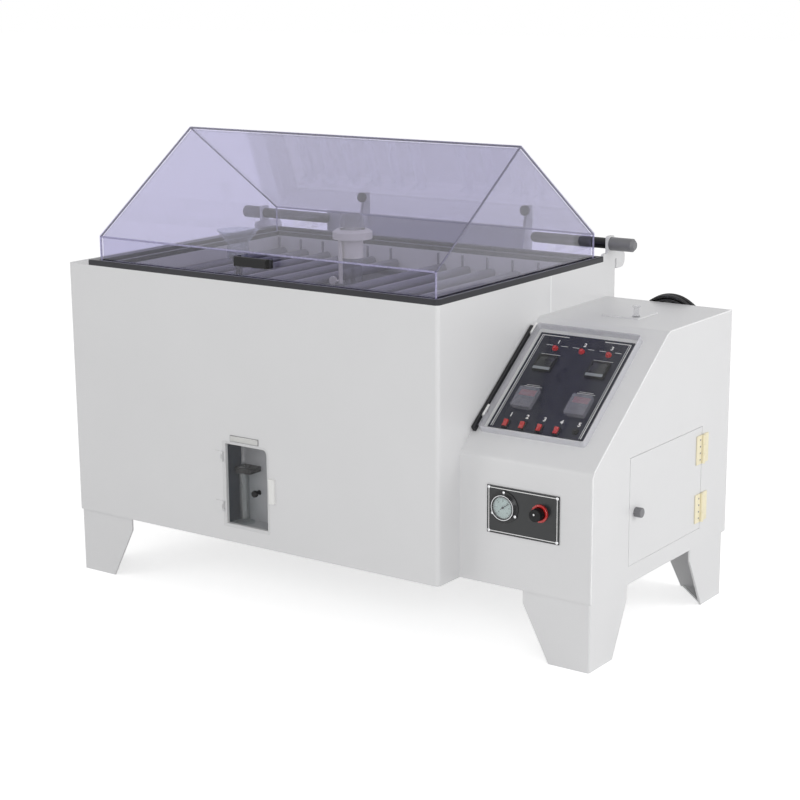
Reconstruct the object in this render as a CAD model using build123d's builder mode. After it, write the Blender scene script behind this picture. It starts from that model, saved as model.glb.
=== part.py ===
from build123d import *
import math
import os

# Salt fog test chamber: a welded cabinet with a water-sealed gable lid, and a control box at its right.
# While the pieces are modelled, X runs from the cabinet's left face, Y from its front face and Z from
# the floor. At the end they all move so that the origin is on the floor under the chamber's middle.

os.makedirs("parts", exist_ok=True)

# Cabinet
CABINET_WIDTH = 1072.0
CABINET_DEPTH = 765.0
UNDERSIDE = 155.0
DECK = 769.0
PLATE = 8.0
EDGE_RADIUS = 10.0
DECK_LEFT = 68.5
DECK_REAR = 65.0

# Lid: clear plate, gable section, hinged behind its rear eave
LID_LEFT = 96.4
LID_SIDE = 11.2
LID_WIDTH = CABINET_WIDTH - LID_LEFT - LID_SIDE
LID_FRONT = 11.7
LID_BEHIND = 89.0
LID_DEPTH = CABINET_DEPTH - LID_FRONT - LID_BEHIND
LID_PLATE = 6.0
EDGE_SINK = 13.0
LID_EDGE = DECK - EDGE_SINK
EAVE_HEIGHT = 84.0
EAVE = LID_EDGE + EAVE_HEIGHT
ROOF_PITCH = 35.0

# Water seal round the tank
RIM_HEIGHT = 13.0
SEAL_OUT = 3.5
SEAL_REAR = 8.0
SEAL_IN = 16.0
SEAL_WALL = 5.0
SEAL_LIP = 11.0
SEAT_GAP = 0.3

# Tank and what stands in it
TANK_WALL = 5.0
TANK_FLOOR = 440.0
LEDGE = 15.0
BAR_RADIUS = 12.5
BAR_DROP = 31.0
BAR_TOP = DECK - BAR_DROP
BAR_COUNT = 13
BAR_MARGIN = 100.4
BAR_PITCH = (LID_WIDTH - BAR_MARGIN) / (BAR_COUNT - 1)
BAR_END_GAP = 1.0
PIN_RADIUS = 3.0
PIN_HEIGHT = 28.0
TOWER_BACK = 23.15
TOWER_Y = LID_FRONT + LID_DEPTH / 2 + TOWER_BACK
TOWER_RADIUS = 23.0
TOWER_WALL = 3.0
TOWER_RISE = 31.0
TOWER_TOP = DECK + TOWER_RISE
CAP_LAP = 18.0
CAP_NECK_BOTTOM = TOWER_TOP - CAP_LAP
CAP_NECK = 46.0
CAP_COLLAR_BOTTOM = CAP_NECK_BOTTOM + CAP_NECK
CAP_COLLAR_RADIUS = 47.5
CAP_COLLAR_HEIGHT = 22.0
CAP_HEIGHT = 58.0
CAP_TOP = CAP_COLLAR_BOTTOM + CAP_HEIGHT
FUNNEL_Y = 160.0
FUNNEL_RISE = 90.0
FUNNEL_RIM = DECK + FUNNEL_RISE
FUNNEL_RADIUS = 49.0
FUNNEL_NECK_RADIUS = 26.0
FUNNEL_PLATE = 3.0
STAND_RADIUS = 10.0

# Lid hinge
PIVOT_IN = 27.0
PIVOT_Y = CABINET_DEPTH - PIVOT_IN
PIVOT_RISE = 39.0
PIVOT_Z = DECK + PIVOT_RISE
SHAFT_RADIUS = 13.0
SHAFT_LENGTH = 214.0
SPIGOT_RADIUS = 8.0
KNOB_RADIUS = 16.0
KNOB_LENGTH = 64.0
EAR_WIDTH = 30.0
EAR_CAP = 19.0
EAR_TOP = PIVOT_Z + EAR_CAP
RUNNING_GAP = 0.05
BOARD_LEFT = 203.0
BOARD_SIDE = 237.0
BOARD_WIDTH = CABINET_WIDTH - BOARD_LEFT - BOARD_SIDE
BOARD_HEIGHT = 57.0
BOARD_TOP = DECK + BOARD_HEIGHT
GUSSET_IN = 132.0
GUSSET_LEFT = BOARD_LEFT + GUSSET_IN
GUSSET_END = 4.0
GUSSET_RIGHT = BOARD_LEFT + BOARD_WIDTH - GUSSET_END
BUMPER_RISE = 102.0
BUMPER_Z = DECK + BUMPER_RISE
BUMPER_RADIUS = 12.5

# Sampling window in the cabinet's front
WINDOW_SHIFT = 56.0
WINDOW_LEFT = CABINET_WIDTH / 2 - WINDOW_SHIFT
WINDOW_WIDTH = 122.0
WINDOW_RISE = 44.0
WINDOW_BOTTOM = UNDERSIDE + WINDOW_RISE
WINDOW_HEIGHT = 191.0
WINDOW_CORNER = 12.0
WINDOW_DOOR = 5.0
DOOR_LAP = 6.0
RECESS_DEPTH = 54.0
RECESS_WALL = 3.0
CYLINDER_RADIUS = 12.0
CYLINDER_HEIGHT = 136.0

# Control box
BOX_WIDTH = 328.0
BOX_FRONT = 83.5
BOX_DEPTH = 635.5
BOX_TOP = 684.0
SLOPE_BOTTOM = 437.0
SLOPE_REACH = 325.0
BOX_PLATE = 6.0
BEND_RADIUS = 14.0

# Control panel, measured along the slope from its lower bend
PANEL_IN = 30.0
PANEL_LEFT = CABINET_WIDTH + PANEL_IN
PANEL_WIDTH = 236.0
PANEL_START = 80.0
PANEL_LENGTH = 281.0
PANEL_PLATE = 2.0
COVER_MARGIN = 14.0
COVER_HEIGHT = 18.0
COVER_PLATE = 3.0
CONTROLLER_SIZE = 46.0
TIMER_WIDTH = 50.0
TIMER_LENGTH = 56.0
LAMP_RADIUS = 7.0
ROCKER_WIDTH = 10.0
ROCKER_LENGTH = 17.0
ROCKER_TILT = 9.0
BUTTON_RADIUS = 4.5
BUTTON_TRAVEL = 2.0

# Gauge plate on the box front
PLATE_IN = 72.0
PLATE_LEFT = CABINET_WIDTH + PLATE_IN
PLATE_WIDTH = 178.0
PLATE_BOTTOM = 273.0
PLATE_HEIGHT = 105.0
PLATE_THICK = 3.0
GAUGE_IN = 43.0
GAUGE_X = PLATE_LEFT + GAUGE_IN
GAUGE_Z = 334.0
GAUGE_RADIUS = 26.0
GAUGE_FLANGE = 32.5
REGULATOR_IN = 132.0
REGULATOR_X = PLATE_LEFT + REGULATOR_IN
REGULATOR_Z = 335.0
REGULATOR_RING = 19.5
REGULATOR_KNOB = 14.0

# Access door in the box's right side
DOOR_FRONT = 244.0
DOOR_WIDTH = 338.0
DOOR_BOTTOM = 197.0
DOOR_HEIGHT = 239.0
DOOR_GAP = 1.5
DOOR_HINGE_LENGTH = 97.0
LOCK_Y = 272.0
LOCK_Z = 312.0

# Hatch in the box's top
HATCH_IN = 113.0
HATCH_LEFT = CABINET_WIDTH + HATCH_IN
HATCH_FRONT = 490.0
HATCH_SIZE = 96.0

# Legs
LEG_SHEET = 5.0
LEG_TOP_WIDTH = 165.0
LEG_STRAIGHT = 30.0
LEG_FOOT_WIDTH = 100.0
LEG_INSET = 5.0

# Rear connections
EXHAUST_RADIUS = 25.0
DRAIN_RADIUS = 16.0
INLET_RADIUS = 5.0
STUB_LENGTH = 60.0

# Mains cord
CORD_RADIUS = 4.5
COIL_IN = 165.0
COIL_X = CABINET_WIDTH + COIL_IN
COIL_Z = 617.0
COIL_RADIUS = 89.4
COIL_BAND = 28.0
COIL_DEPTH = 20.0
JOIN_ANGLE = 25.0
JOIN_GAP = 40.0
HOOK_RADIUS = 4.0

# Derived places
LID_RIGHT = LID_LEFT + LID_WIDTH
LID_REAR = LID_FRONT + LID_DEPTH
LID_MIDDLE = LID_LEFT + LID_WIDTH / 2
FUNNEL_X = LID_MIDDLE - 2.5 * BAR_PITCH
PITCH_TAN = math.tan(math.radians(ROOF_PITCH))
PITCH_COS = math.cos(math.radians(ROOF_PITCH))
RIM_TOP = DECK + RIM_HEIGHT
SEAL_FLOOR = LID_EDGE - SEAT_GAP
TANK_LEFT = LID_LEFT + LID_PLATE + SEAL_IN + SEAL_WALL + TANK_WALL
TANK_RIGHT = LID_RIGHT - LID_PLATE - SEAL_IN - SEAL_WALL - TANK_WALL
TANK_FRONT = LID_FRONT + LID_PLATE + SEAL_IN + SEAL_WALL + TANK_WALL
TANK_REAR = LID_REAR - LID_PLATE - SEAL_IN - SEAL_WALL - TANK_WALL
TANK_TOP = RIM_TOP - 4 - SEAL_LIP
BAR_Z = BAR_TOP - BAR_RADIUS
BOX_LEFT = CABINET_WIDTH
BOX_RIGHT = BOX_LEFT + BOX_WIDTH
BOX_REAR = BOX_FRONT + BOX_DEPTH
SLOPE_RISE = BOX_TOP - SLOPE_BOTTOM
SLOPE_ANGLE = math.degrees(math.atan2(SLOPE_RISE, SLOPE_REACH))
SLOPE_LENGTH = math.hypot(SLOPE_RISE, SLOPE_REACH)

# The slope's own plane: X to the right, Y up the slope and Z out of it
SLOPE = Plane(
    origin=(0, BOX_FRONT, SLOPE_BOTTOM),
    x_dir=(1, 0, 0),
    z_dir=(0, -math.sin(math.radians(SLOPE_ANGLE)), math.cos(math.radians(SLOPE_ANGLE))),
)
SLOPE_OUT = Axis(SLOPE.origin, SLOPE.z_dir)
pieces = []


def finish(piece, name):
    """Keep a finished piece under its name."""
    piece.part.label = name
    pieces.append(piece.part)


def block(x, y, z, mode=Mode.ADD):
    """A square-edged block between two values on each axis."""
    with Locations(((x[0] + x[1]) / 2, (y[0] + y[1]) / 2, (z[0] + z[1]) / 2)):
        Box(abs(x[1] - x[0]), abs(y[1] - y[0]), abs(z[1] - z[0]), mode=mode)


def area(x, y, mode=Mode.ADD):
    """A rectangle between two values on each axis of the sketch."""
    with Locations(((x[0] + x[1]) / 2, (y[0] + y[1]) / 2)):
        Rectangle(abs(x[1] - x[0]), abs(y[1] - y[0]), mode=mode)


def rod(start, direction, radius, length, mode=Mode.ADD):
    """A round rod from a point along a direction."""
    with Locations(Plane(origin=start, z_dir=direction)):
        Cylinder(radius, length, align=(Align.CENTER, Align.CENTER, Align.MIN), mode=mode)


def outline(*points):
    """A closed outline of straight runs."""
    with BuildLine() as border:
        Polyline(*points, close=True)
    make_face(border.edges())


# Cabinet shell
SEAL_LEFT_OUT = LID_LEFT - SEAL_OUT
SEAL_RIGHT_OUT = LID_RIGHT + SEAL_OUT
SEAL_FRONT_OUT = LID_FRONT - SEAL_OUT
SEAL_REAR_OUT = LID_REAR + SEAL_REAR
RIM_REAR = CABINET_DEPTH - DECK_REAR
RECESS_LEFT = WINDOW_LEFT - DOOR_LAP
RECESS_RIGHT = WINDOW_LEFT + WINDOW_WIDTH + DOOR_LAP
RECESS_BOTTOM = WINDOW_BOTTOM - DOOR_LAP
RECESS_TOP = WINDOW_BOTTOM + WINDOW_HEIGHT + DOOR_LAP
PIPE_HOLE_Y = CABINET_DEPTH / 2
PIPE_HOLE_Z = UNDERSIDE + 120
EXHAUST_X = CABINET_WIDTH * 0.5
EXHAUST_Z = DECK - 114
DRAIN_X = EXHAUST_X - 160
DRAIN_Z = TANK_FLOOR + DRAIN_RADIUS + 8
with BuildPart() as cabinet_shell:
    with BuildSketch(Plane.XY.offset(UNDERSIDE)) as footprint:
        area((0, CABINET_WIDTH), (0, CABINET_DEPTH))
        fillet(footprint.vertices(), EDGE_RADIUS)
    extrude(amount=DECK - UNDERSIDE)
    block(
        (PLATE, CABINET_WIDTH - PLATE),
        (PLATE, CABINET_DEPTH - PLATE),
        (UNDERSIDE + PLATE, DECK - PLATE),
        mode=Mode.SUBTRACT,
    )
    block(
        (DECK_LEFT + PLATE, CABINET_WIDTH - PLATE),
        (PLATE, RIM_REAR - PLATE),
        (DECK - 2 * PLATE, DECK + PLATE),
        mode=Mode.SUBTRACT,
    )
    with BuildSketch(Plane.XZ) as window_hole:
        area(
            (WINDOW_LEFT, WINDOW_LEFT + WINDOW_WIDTH),
            (WINDOW_BOTTOM, WINDOW_BOTTOM + WINDOW_HEIGHT),
        )
        fillet(window_hole.vertices().group_by(Axis.X)[-1].sort_by(Axis.Y)[-1], WINDOW_CORNER)
    extrude(amount=-2 * PLATE, both=True, mode=Mode.SUBTRACT)
    rod((BOX_LEFT - 2 * PLATE, PIPE_HOLE_Y, PIPE_HOLE_Z), (1, 0, 0), 20, 4 * PLATE, mode=Mode.SUBTRACT)
    rod((EXHAUST_X, CABINET_DEPTH - 2 * PLATE, EXHAUST_Z), (0, 1, 0), EXHAUST_RADIUS, 99, mode=Mode.SUBTRACT)
    rod((DRAIN_X, CABINET_DEPTH - 2 * PLATE, DRAIN_Z), (0, 1, 0), DRAIN_RADIUS, 99, mode=Mode.SUBTRACT)
finish(cabinet_shell, "cabinet_shell")

# Water seal: a rim that lies on the cabinet's edges, with a channel that the lid's edge dips into
SEAL_LEFT_IN = LID_LEFT + LID_PLATE + SEAL_IN
SEAL_RIGHT_IN = LID_RIGHT - LID_PLATE - SEAL_IN
SEAL_FRONT_IN = LID_FRONT + LID_PLATE + SEAL_IN
SEAL_REAR_IN = LID_REAR - LID_PLATE - SEAL_IN
with BuildPart() as rim_trough:
    with BuildSketch(Plane.XY.offset(DECK)) as rim_outline:
        area((DECK_LEFT, CABINET_WIDTH), (0, RIM_REAR))
        fillet(rim_outline.vertices().sort_by(Axis.X)[-2:].sort_by(Axis.Y)[0], EDGE_RADIUS)
    extrude(amount=RIM_HEIGHT)
    block(
        (SEAL_LEFT_OUT - SEAL_WALL, CABINET_WIDTH - PLATE),
        (PLATE, SEAL_REAR_OUT + SEAL_WALL),
        (SEAL_FLOOR - SEAL_WALL, DECK),
    )
    block(
        (SEAL_LEFT_OUT, SEAL_RIGHT_OUT),
        (SEAL_FRONT_OUT, SEAL_REAR_OUT),
        (SEAL_FLOOR, RIM_TOP),
        mode=Mode.SUBTRACT,
    )
    block(
        (SEAL_LEFT_IN, SEAL_RIGHT_IN),
        (SEAL_FRONT_IN, SEAL_REAR_IN),
        (SEAL_FLOOR - SEAL_WALL, TANK_TOP + SEAL_LIP),
    )
    block(
        (TANK_LEFT - TANK_WALL, TANK_RIGHT + TANK_WALL),
        (TANK_FRONT - TANK_WALL, TANK_REAR + TANK_WALL),
        (SEAL_FLOOR - 2 * SEAL_WALL, TANK_TOP),
        mode=Mode.SUBTRACT,
    )
    block(
        (TANK_LEFT, TANK_RIGHT),
        (TANK_FRONT, TANK_REAR),
        (TANK_TOP - SEAL_LIP, RIM_TOP + SEAL_LIP),
        mode=Mode.SUBTRACT,
    )
    fillet(rim_trough.edges().group_by(Axis.Z)[-1].filter_by(lambda e: e.center().Y < 1), 2)
finish(rim_trough, "rim_trough")

# Tank: open box with ledges for the bars, and holes for the tower, funnel pipe, exhaust and drain
LEDGE_TOP = BAR_Z - BAR_RADIUS - SEAT_GAP
with BuildPart() as tank:
    block(
        (TANK_LEFT - TANK_WALL, TANK_RIGHT + TANK_WALL),
        (TANK_FRONT - TANK_WALL, TANK_REAR + TANK_WALL),
        (TANK_FLOOR - TANK_WALL, TANK_TOP),
    )
    block(
        (TANK_LEFT, TANK_RIGHT),
        (TANK_FRONT, TANK_REAR),
        (TANK_FLOOR, TANK_TOP + PLATE),
        mode=Mode.SUBTRACT,
    )
    rod((FUNNEL_X, FUNNEL_Y, TANK_FLOOR - 20), (0, 0, 1), 5, 40, mode=Mode.SUBTRACT)
    rod((EXHAUST_X, TANK_REAR - 20, EXHAUST_Z), (0, 1, 0), EXHAUST_RADIUS, 60, mode=Mode.SUBTRACT)
    rod((DRAIN_X, TANK_REAR - 20, DRAIN_Z), (0, 1, 0), DRAIN_RADIUS, 60, mode=Mode.SUBTRACT)
finish(tank, "tank")

# Ledge strips welded to the tank's front and rear walls, which the bars rest on
LEDGE_NOSE = 6.0
LEDGE_HEIGHT = 20.0
with BuildPart() as bar_ledges:
    with BuildSketch(Plane.YZ.offset(TANK_LEFT)):
        for wall_y, inward in ((TANK_FRONT, 1), (TANK_REAR, -1)):
            outline(
                (wall_y, LEDGE_TOP),
                (wall_y + inward * LEDGE, LEDGE_TOP),
                (wall_y + inward * LEDGE, LEDGE_TOP - LEDGE_NOSE),
                (wall_y, LEDGE_TOP - LEDGE_HEIGHT),
            )
    extrude(amount=TANK_RIGHT - TANK_LEFT)
finish(bar_ledges, "bar_ledges")

# Specimen bars: capped tubes from ledge to ledge with an upright pin near the rear; none at the tower
BAR_LENGTH = TANK_REAR - TANK_FRONT - 2 * BAR_END_GAP
with BuildPart() as specimen_bars:
    for number in range(BAR_COUNT):
        offset_x = (number - (BAR_COUNT - 1) / 2) * BAR_PITCH
        if abs(offset_x) < CAP_COLLAR_RADIUS:
            continue
        rod((LID_MIDDLE + offset_x, TANK_FRONT + BAR_END_GAP, BAR_Z), (0, 1, 0), BAR_RADIUS, BAR_LENGTH)
        rod(
            (LID_MIDDLE + offset_x, TANK_REAR - LEDGE - 2 * PIN_RADIUS, BAR_Z),
            (0, 0, 1),
            PIN_RADIUS,
            BAR_RADIUS + PIN_HEIGHT,
        )
    round_ends = specimen_bars.edges().filter_by(GeomType.CIRCLE).filter_by(
        lambda e: abs(e.radius - BAR_RADIUS) < 0.01
    )
    chamfer(round_ends, 2.5)
finish(specimen_bars, "specimen_bars")

# Fog collecting funnel with a straight neck, on its pipe
FUNNEL_CONE = 30.0
FUNNEL_NECK = 34.0
FUNNEL_TAPER = 16.0
FUNNEL_SPOUT = 24.0
SPOUT_RADIUS = 7.0
with BuildPart() as fog_funnel:
    with BuildSketch(Plane.XZ.offset(-FUNNEL_Y)) as funnel_wall:
        neck_bottom = FUNNEL_RIM - FUNNEL_CONE - FUNNEL_NECK
        shoulder = FUNNEL_RIM - FUNNEL_CONE
        outline(
            (FUNNEL_X + FUNNEL_RADIUS, FUNNEL_RIM),
            (FUNNEL_X + FUNNEL_NECK_RADIUS, shoulder),
            (FUNNEL_X + FUNNEL_NECK_RADIUS, neck_bottom),
            (FUNNEL_X + STAND_RADIUS, neck_bottom - FUNNEL_TAPER),
            (FUNNEL_X + SPOUT_RADIUS, neck_bottom - FUNNEL_TAPER),
            (FUNNEL_X + SPOUT_RADIUS, neck_bottom - FUNNEL_TAPER - FUNNEL_SPOUT),
            (FUNNEL_X + SPOUT_RADIUS - FUNNEL_PLATE, neck_bottom - FUNNEL_TAPER - FUNNEL_SPOUT),
            (FUNNEL_X + SPOUT_RADIUS - FUNNEL_PLATE, neck_bottom - FUNNEL_TAPER + 2),
            (FUNNEL_X + FUNNEL_NECK_RADIUS - FUNNEL_PLATE, neck_bottom + 2),
            (FUNNEL_X + FUNNEL_NECK_RADIUS - FUNNEL_PLATE, shoulder + 2),
            (FUNNEL_X + FUNNEL_RADIUS - FUNNEL_PLATE, FUNNEL_RIM),
        )
    revolve(axis=Axis((FUNNEL_X, FUNNEL_Y, 0), (0, 0, 1)))
finish(fog_funnel, "fog_funnel")

# Funnel stand pipe in the tank, and the drip tube from the tank's floor to the measuring cylinder
FUNNEL_SEAT = FUNNEL_RIM - FUNNEL_CONE - FUNNEL_NECK - FUNNEL_TAPER
CYLINDER_IN = 26.0
CYLINDER_X = WINDOW_LEFT + CYLINDER_IN
CYLINDER_Y = PLATE + 26
DRIP_RADIUS = 5.0
DRIP_END = RECESS_TOP - 52
with BuildPart() as drip_line:
    rod((FUNNEL_X, FUNNEL_Y, TANK_FLOOR), (0, 0, 1), STAND_RADIUS, FUNNEL_SEAT - TANK_FLOOR)
    rod((FUNNEL_X, FUNNEL_Y, TANK_FLOOR), (0, 0, 1), STAND_RADIUS + 14, 5)
    rod((FUNNEL_X, FUNNEL_Y, TANK_FLOOR), (0, 0, 1), SPOUT_RADIUS + RUNNING_GAP, 999, mode=Mode.SUBTRACT)
    with BuildLine() as drip_route:
        FilletPolyline(
            (FUNNEL_X, FUNNEL_Y, TANK_FLOOR - TANK_WALL),
            (FUNNEL_X, FUNNEL_Y, TANK_FLOOR - TANK_WALL - 16),
            (CYLINDER_X, CYLINDER_Y, RECESS_TOP + 14),
            (CYLINDER_X, CYLINDER_Y, DRIP_END),
            radius=6,
        )
    with BuildSketch(Plane(origin=drip_route.line @ 0, z_dir=drip_route.line % 0)):
        Circle(DRIP_RADIUS)
    sweep(path=drip_route.line)
finish(drip_line, "drip_line")

# Spray tower: clear column on the tank floor with the nozzle inside, and a cap that is set by hand
with BuildPart() as tower_column:
    rod((LID_MIDDLE, TOWER_Y, TANK_FLOOR), (0, 0, 1), TOWER_RADIUS, TOWER_TOP - TANK_FLOOR)
    rod((LID_MIDDLE, TOWER_Y, TANK_FLOOR), (0, 0, 1), TOWER_RADIUS + 20, 6)
    rod(
        (LID_MIDDLE, TOWER_Y, TANK_FLOOR),
        (0, 0, 1),
        TOWER_RADIUS - TOWER_WALL,
        TOWER_TOP,
        mode=Mode.SUBTRACT,
    )
finish(tower_column, "tower_column")

NOZZLE_RADIUS = 6.0
with BuildPart() as spray_nozzle:
    rod((LID_MIDDLE, TOWER_Y, TANK_FLOOR), (0, 0, 1), NOZZLE_RADIUS, TOWER_TOP - 60 - TANK_FLOOR)
    with Locations((LID_MIDDLE, TOWER_Y, TOWER_TOP - 60)):
        Cone(NOZZLE_RADIUS, 2, 22, align=(Align.CENTER, Align.CENTER, Align.MIN))
    rod((LID_MIDDLE, TOWER_Y, TOWER_TOP - 90), (1, 0, 0), 3.5, TOWER_RADIUS - TOWER_WALL - 1)
finish(spray_nozzle, "spray_nozzle")

ROD_OFFSET_X = -15.0
ROD_OFFSET_Y = -28.5
ROD_RADIUS = 5.0
ROD_BOTTOM = BAR_TOP - 16
with BuildPart() as tower_cap:
    with BuildSketch(Plane.XZ.offset(-TOWER_Y)) as cap_wall:
        bore = TOWER_RADIUS + RUNNING_GAP
        collar_top = CAP_COLLAR_BOTTOM + CAP_COLLAR_HEIGHT
        outline(
            (LID_MIDDLE + bore, CAP_NECK_BOTTOM),
            (LID_MIDDLE + bore + 2.5, CAP_NECK_BOTTOM),
            (LID_MIDDLE + bore + 2.5, CAP_COLLAR_BOTTOM),
            (LID_MIDDLE + CAP_COLLAR_RADIUS, CAP_COLLAR_BOTTOM),
            (LID_MIDDLE + CAP_COLLAR_RADIUS, collar_top - 6),
            (LID_MIDDLE + CAP_COLLAR_RADIUS - 9, collar_top),
            (LID_MIDDLE + 31, collar_top),
            (LID_MIDDLE + 27, CAP_TOP - 4),
            (LID_MIDDLE + 22, CAP_TOP),
            (LID_MIDDLE + 18, CAP_TOP),
            (LID_MIDDLE + 20, collar_top),
            (LID_MIDDLE + bore, CAP_COLLAR_BOTTOM + 4),
        )
    revolve(axis=Axis((LID_MIDDLE, TOWER_Y, 0), (0, 0, 1)))
    rod(
        (LID_MIDDLE + ROD_OFFSET_X, TOWER_Y + ROD_OFFSET_Y, ROD_BOTTOM),
        (0, 0, 1),
        ROD_RADIUS,
        CAP_COLLAR_BOTTOM + 2 - ROD_BOTTOM,
    )
    rod(
        (LID_MIDDLE + ROD_OFFSET_X, TOWER_Y + ROD_OFFSET_Y, ROD_BOTTOM + 5),
        (-1, 0, 0),
        3,
        16,
    )
    rod(
        (LID_MIDDLE + ROD_OFFSET_X - 23, TOWER_Y + ROD_OFFSET_Y + 3, ROD_BOTTOM + 5),
        (0, -1, 0),
        10,
        6,
    )
finish(tower_cap, "tower_cap")

# Heater under the tank: a hairpin on two saddles
HEATER_Z = UNDERSIDE + PLATE + 60
HEATER_RADIUS = 6.0
HEATER_LEFT = 160.0
HEATER_RIGHT_IN = 212.0
HEATER_RIGHT = CABINET_WIDTH - HEATER_RIGHT_IN
HEATER_FRONT = 300.0
HEATER_REAR_IN = 205.0
HEATER_REAR = CABINET_DEPTH - HEATER_REAR_IN
HEATER_BEND = 0.46 * (HEATER_REAR - HEATER_FRONT)
with BuildPart() as tank_heater:
    with BuildLine() as heater_route:
        FilletPolyline(
            (HEATER_LEFT, HEATER_REAR, HEATER_Z),
            (HEATER_RIGHT, HEATER_REAR, HEATER_Z),
            (HEATER_RIGHT, HEATER_FRONT, HEATER_Z),
            (HEATER_LEFT, HEATER_FRONT, HEATER_Z),
            radius=HEATER_BEND,
        )
    with BuildSketch(Plane(origin=heater_route.line @ 0, z_dir=heater_route.line % 0)):
        Circle(HEATER_RADIUS)
    sweep(path=heater_route.line)
    for saddle_x in (HEATER_LEFT + 60, HEATER_RIGHT - 160):
        block(
            (saddle_x, saddle_x + 20),
            (HEATER_FRONT - 10, HEATER_REAR + 10),
            (UNDERSIDE + PLATE, HEATER_Z - HEATER_RADIUS / 2),
        )
finish(tank_heater, "tank_heater")

# Recess behind the window: an open-fronted box that carries the measuring cylinder
with BuildPart() as window_recess:
    block((RECESS_LEFT, RECESS_RIGHT), (PLATE, PLATE + RECESS_DEPTH), (RECESS_BOTTOM, RECESS_TOP))
    block(
        (RECESS_LEFT + RECESS_WALL, RECESS_RIGHT - RECESS_WALL),
        (0, PLATE + RECESS_DEPTH - RECESS_WALL),
        (RECESS_BOTTOM + RECESS_WALL, RECESS_TOP - RECESS_WALL),
        mode=Mode.SUBTRACT,
    )
    rod((CYLINDER_X, CYLINDER_Y, RECESS_TOP - 9), (0, 0, 1), DRIP_RADIUS + 0.2, 20, mode=Mode.SUBTRACT)
finish(window_recess, "window_recess")

CYLINDER_BASE = RECESS_BOTTOM + RECESS_WALL
with BuildPart() as measuring_cylinder:
    with BuildSketch(Plane.XZ.offset(-CYLINDER_Y)):
        outline(
            (CYLINDER_X, CYLINDER_BASE),
            (CYLINDER_X + 22, CYLINDER_BASE),
            (CYLINDER_X + 22, CYLINDER_BASE + 4),
            (CYLINDER_X + CYLINDER_RADIUS, CYLINDER_BASE + 8),
            (CYLINDER_X + CYLINDER_RADIUS, CYLINDER_BASE + CYLINDER_HEIGHT),
            (CYLINDER_X + CYLINDER_RADIUS - 1.5, CYLINDER_BASE + CYLINDER_HEIGHT),
            (CYLINDER_X + CYLINDER_RADIUS - 1.5, CYLINDER_BASE + 9),
            (CYLINDER_X, CYLINDER_BASE + 9),
        )
    revolve(axis=Axis((CYLINDER_X, CYLINDER_Y, 0), (0, 0, 1)))
finish(measuring_cylinder, "measuring_cylinder")

HOLDER_Z = CYLINDER_BASE + CYLINDER_HEIGHT - 14
with BuildPart() as cylinder_holder:
    block(
        (CYLINDER_X - 18, CYLINDER_X + 30),
        (CYLINDER_Y - 16, PLATE + RECESS_DEPTH - RECESS_WALL),
        (HOLDER_Z, HOLDER_Z + 12),
    )
    fillet(cylinder_holder.edges().filter_by(Axis.Z).group_by(Axis.Y)[0], 8)
    rod(
        (CYLINDER_X, CYLINDER_Y, HOLDER_Z - 5),
        (0, 0, 1),
        CYLINDER_RADIUS + SEAT_GAP,
        30,
        mode=Mode.SUBTRACT,
    )
finish(cylinder_holder, "cylinder_holder")

# Window door, its knob, its hinges and its catch
DOOR_LEFT_X = WINDOW_LEFT - DOOR_LAP
DOOR_RIGHT_X = WINDOW_LEFT + WINDOW_WIDTH + DOOR_LAP
WINDOW_AXIS_X = DOOR_LEFT_X - 3
WINDOW_AXIS_Y = -SEAT_GAP - WINDOW_DOOR / 2
WINDOW_PIN = 1.5
WINDOW_KNUCKLE = 2.6
HINGE_ZS = (WINDOW_BOTTOM + 40, WINDOW_BOTTOM + WINDOW_HEIGHT - 32)
WINDOW_HINGE = 24.0
with BuildPart() as window_door:
    with BuildSketch(Plane.XZ.offset(SEAT_GAP)) as door_face:
        area(
            (DOOR_LEFT_X, DOOR_RIGHT_X),
            (WINDOW_BOTTOM - DOOR_LAP, WINDOW_BOTTOM + WINDOW_HEIGHT + DOOR_LAP),
        )
        fillet(door_face.vertices().group_by(Axis.X)[-1].sort_by(Axis.Y)[-1], WINDOW_CORNER + DOOR_LAP)
    extrude(amount=WINDOW_DOOR)
    for hinge_z in HINGE_ZS:
        block(
            (WINDOW_AXIS_X, DOOR_LEFT_X),
            (-SEAT_GAP - WINDOW_DOOR, -SEAT_GAP),
            (hinge_z - WINDOW_HINGE / 2 + 6, hinge_z + WINDOW_HINGE / 2 - 6),
        )
        rod(
            (WINDOW_AXIS_X, WINDOW_AXIS_Y, hinge_z - WINDOW_HINGE / 2 + 6),
            (0, 0, 1),
            WINDOW_KNUCKLE,
            WINDOW_HINGE - 12,
        )
        rod(
            (WINDOW_AXIS_X, WINDOW_AXIS_Y, hinge_z - WINDOW_HINGE),
            (0, 0, 1),
            WINDOW_PIN + RUNNING_GAP,
            2 * WINDOW_HINGE,
            mode=Mode.SUBTRACT,
        )
finish(window_door, "window_door")

with BuildPart() as window_hinges:
    for hinge_z in HINGE_ZS:
        for low, high in (
            (hinge_z - WINDOW_HINGE / 2, hinge_z - WINDOW_HINGE / 2 + 5.7),
            (hinge_z + WINDOW_HINGE / 2 - 5.7, hinge_z + WINDOW_HINGE / 2),
        ):
            block((WINDOW_AXIS_X - 20, WINDOW_AXIS_X), (WINDOW_AXIS_Y, 0), (low, high))
            rod((WINDOW_AXIS_X, WINDOW_AXIS_Y, low), (0, 0, 1), WINDOW_KNUCKLE, high - low)
        block(
            (WINDOW_AXIS_X - 22, WINDOW_AXIS_X - WINDOW_KNUCKLE - 1),
            (WINDOW_AXIS_Y, 0),
            (hinge_z - WINDOW_HINGE / 2, hinge_z + WINDOW_HINGE / 2),
        )
        rod(
            (WINDOW_AXIS_X, WINDOW_AXIS_Y, hinge_z - WINDOW_HINGE / 2),
            (0, 0, 1),
            WINDOW_PIN,
            WINDOW_HINGE,
        )
finish(window_hinges, "window_hinges")

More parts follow.
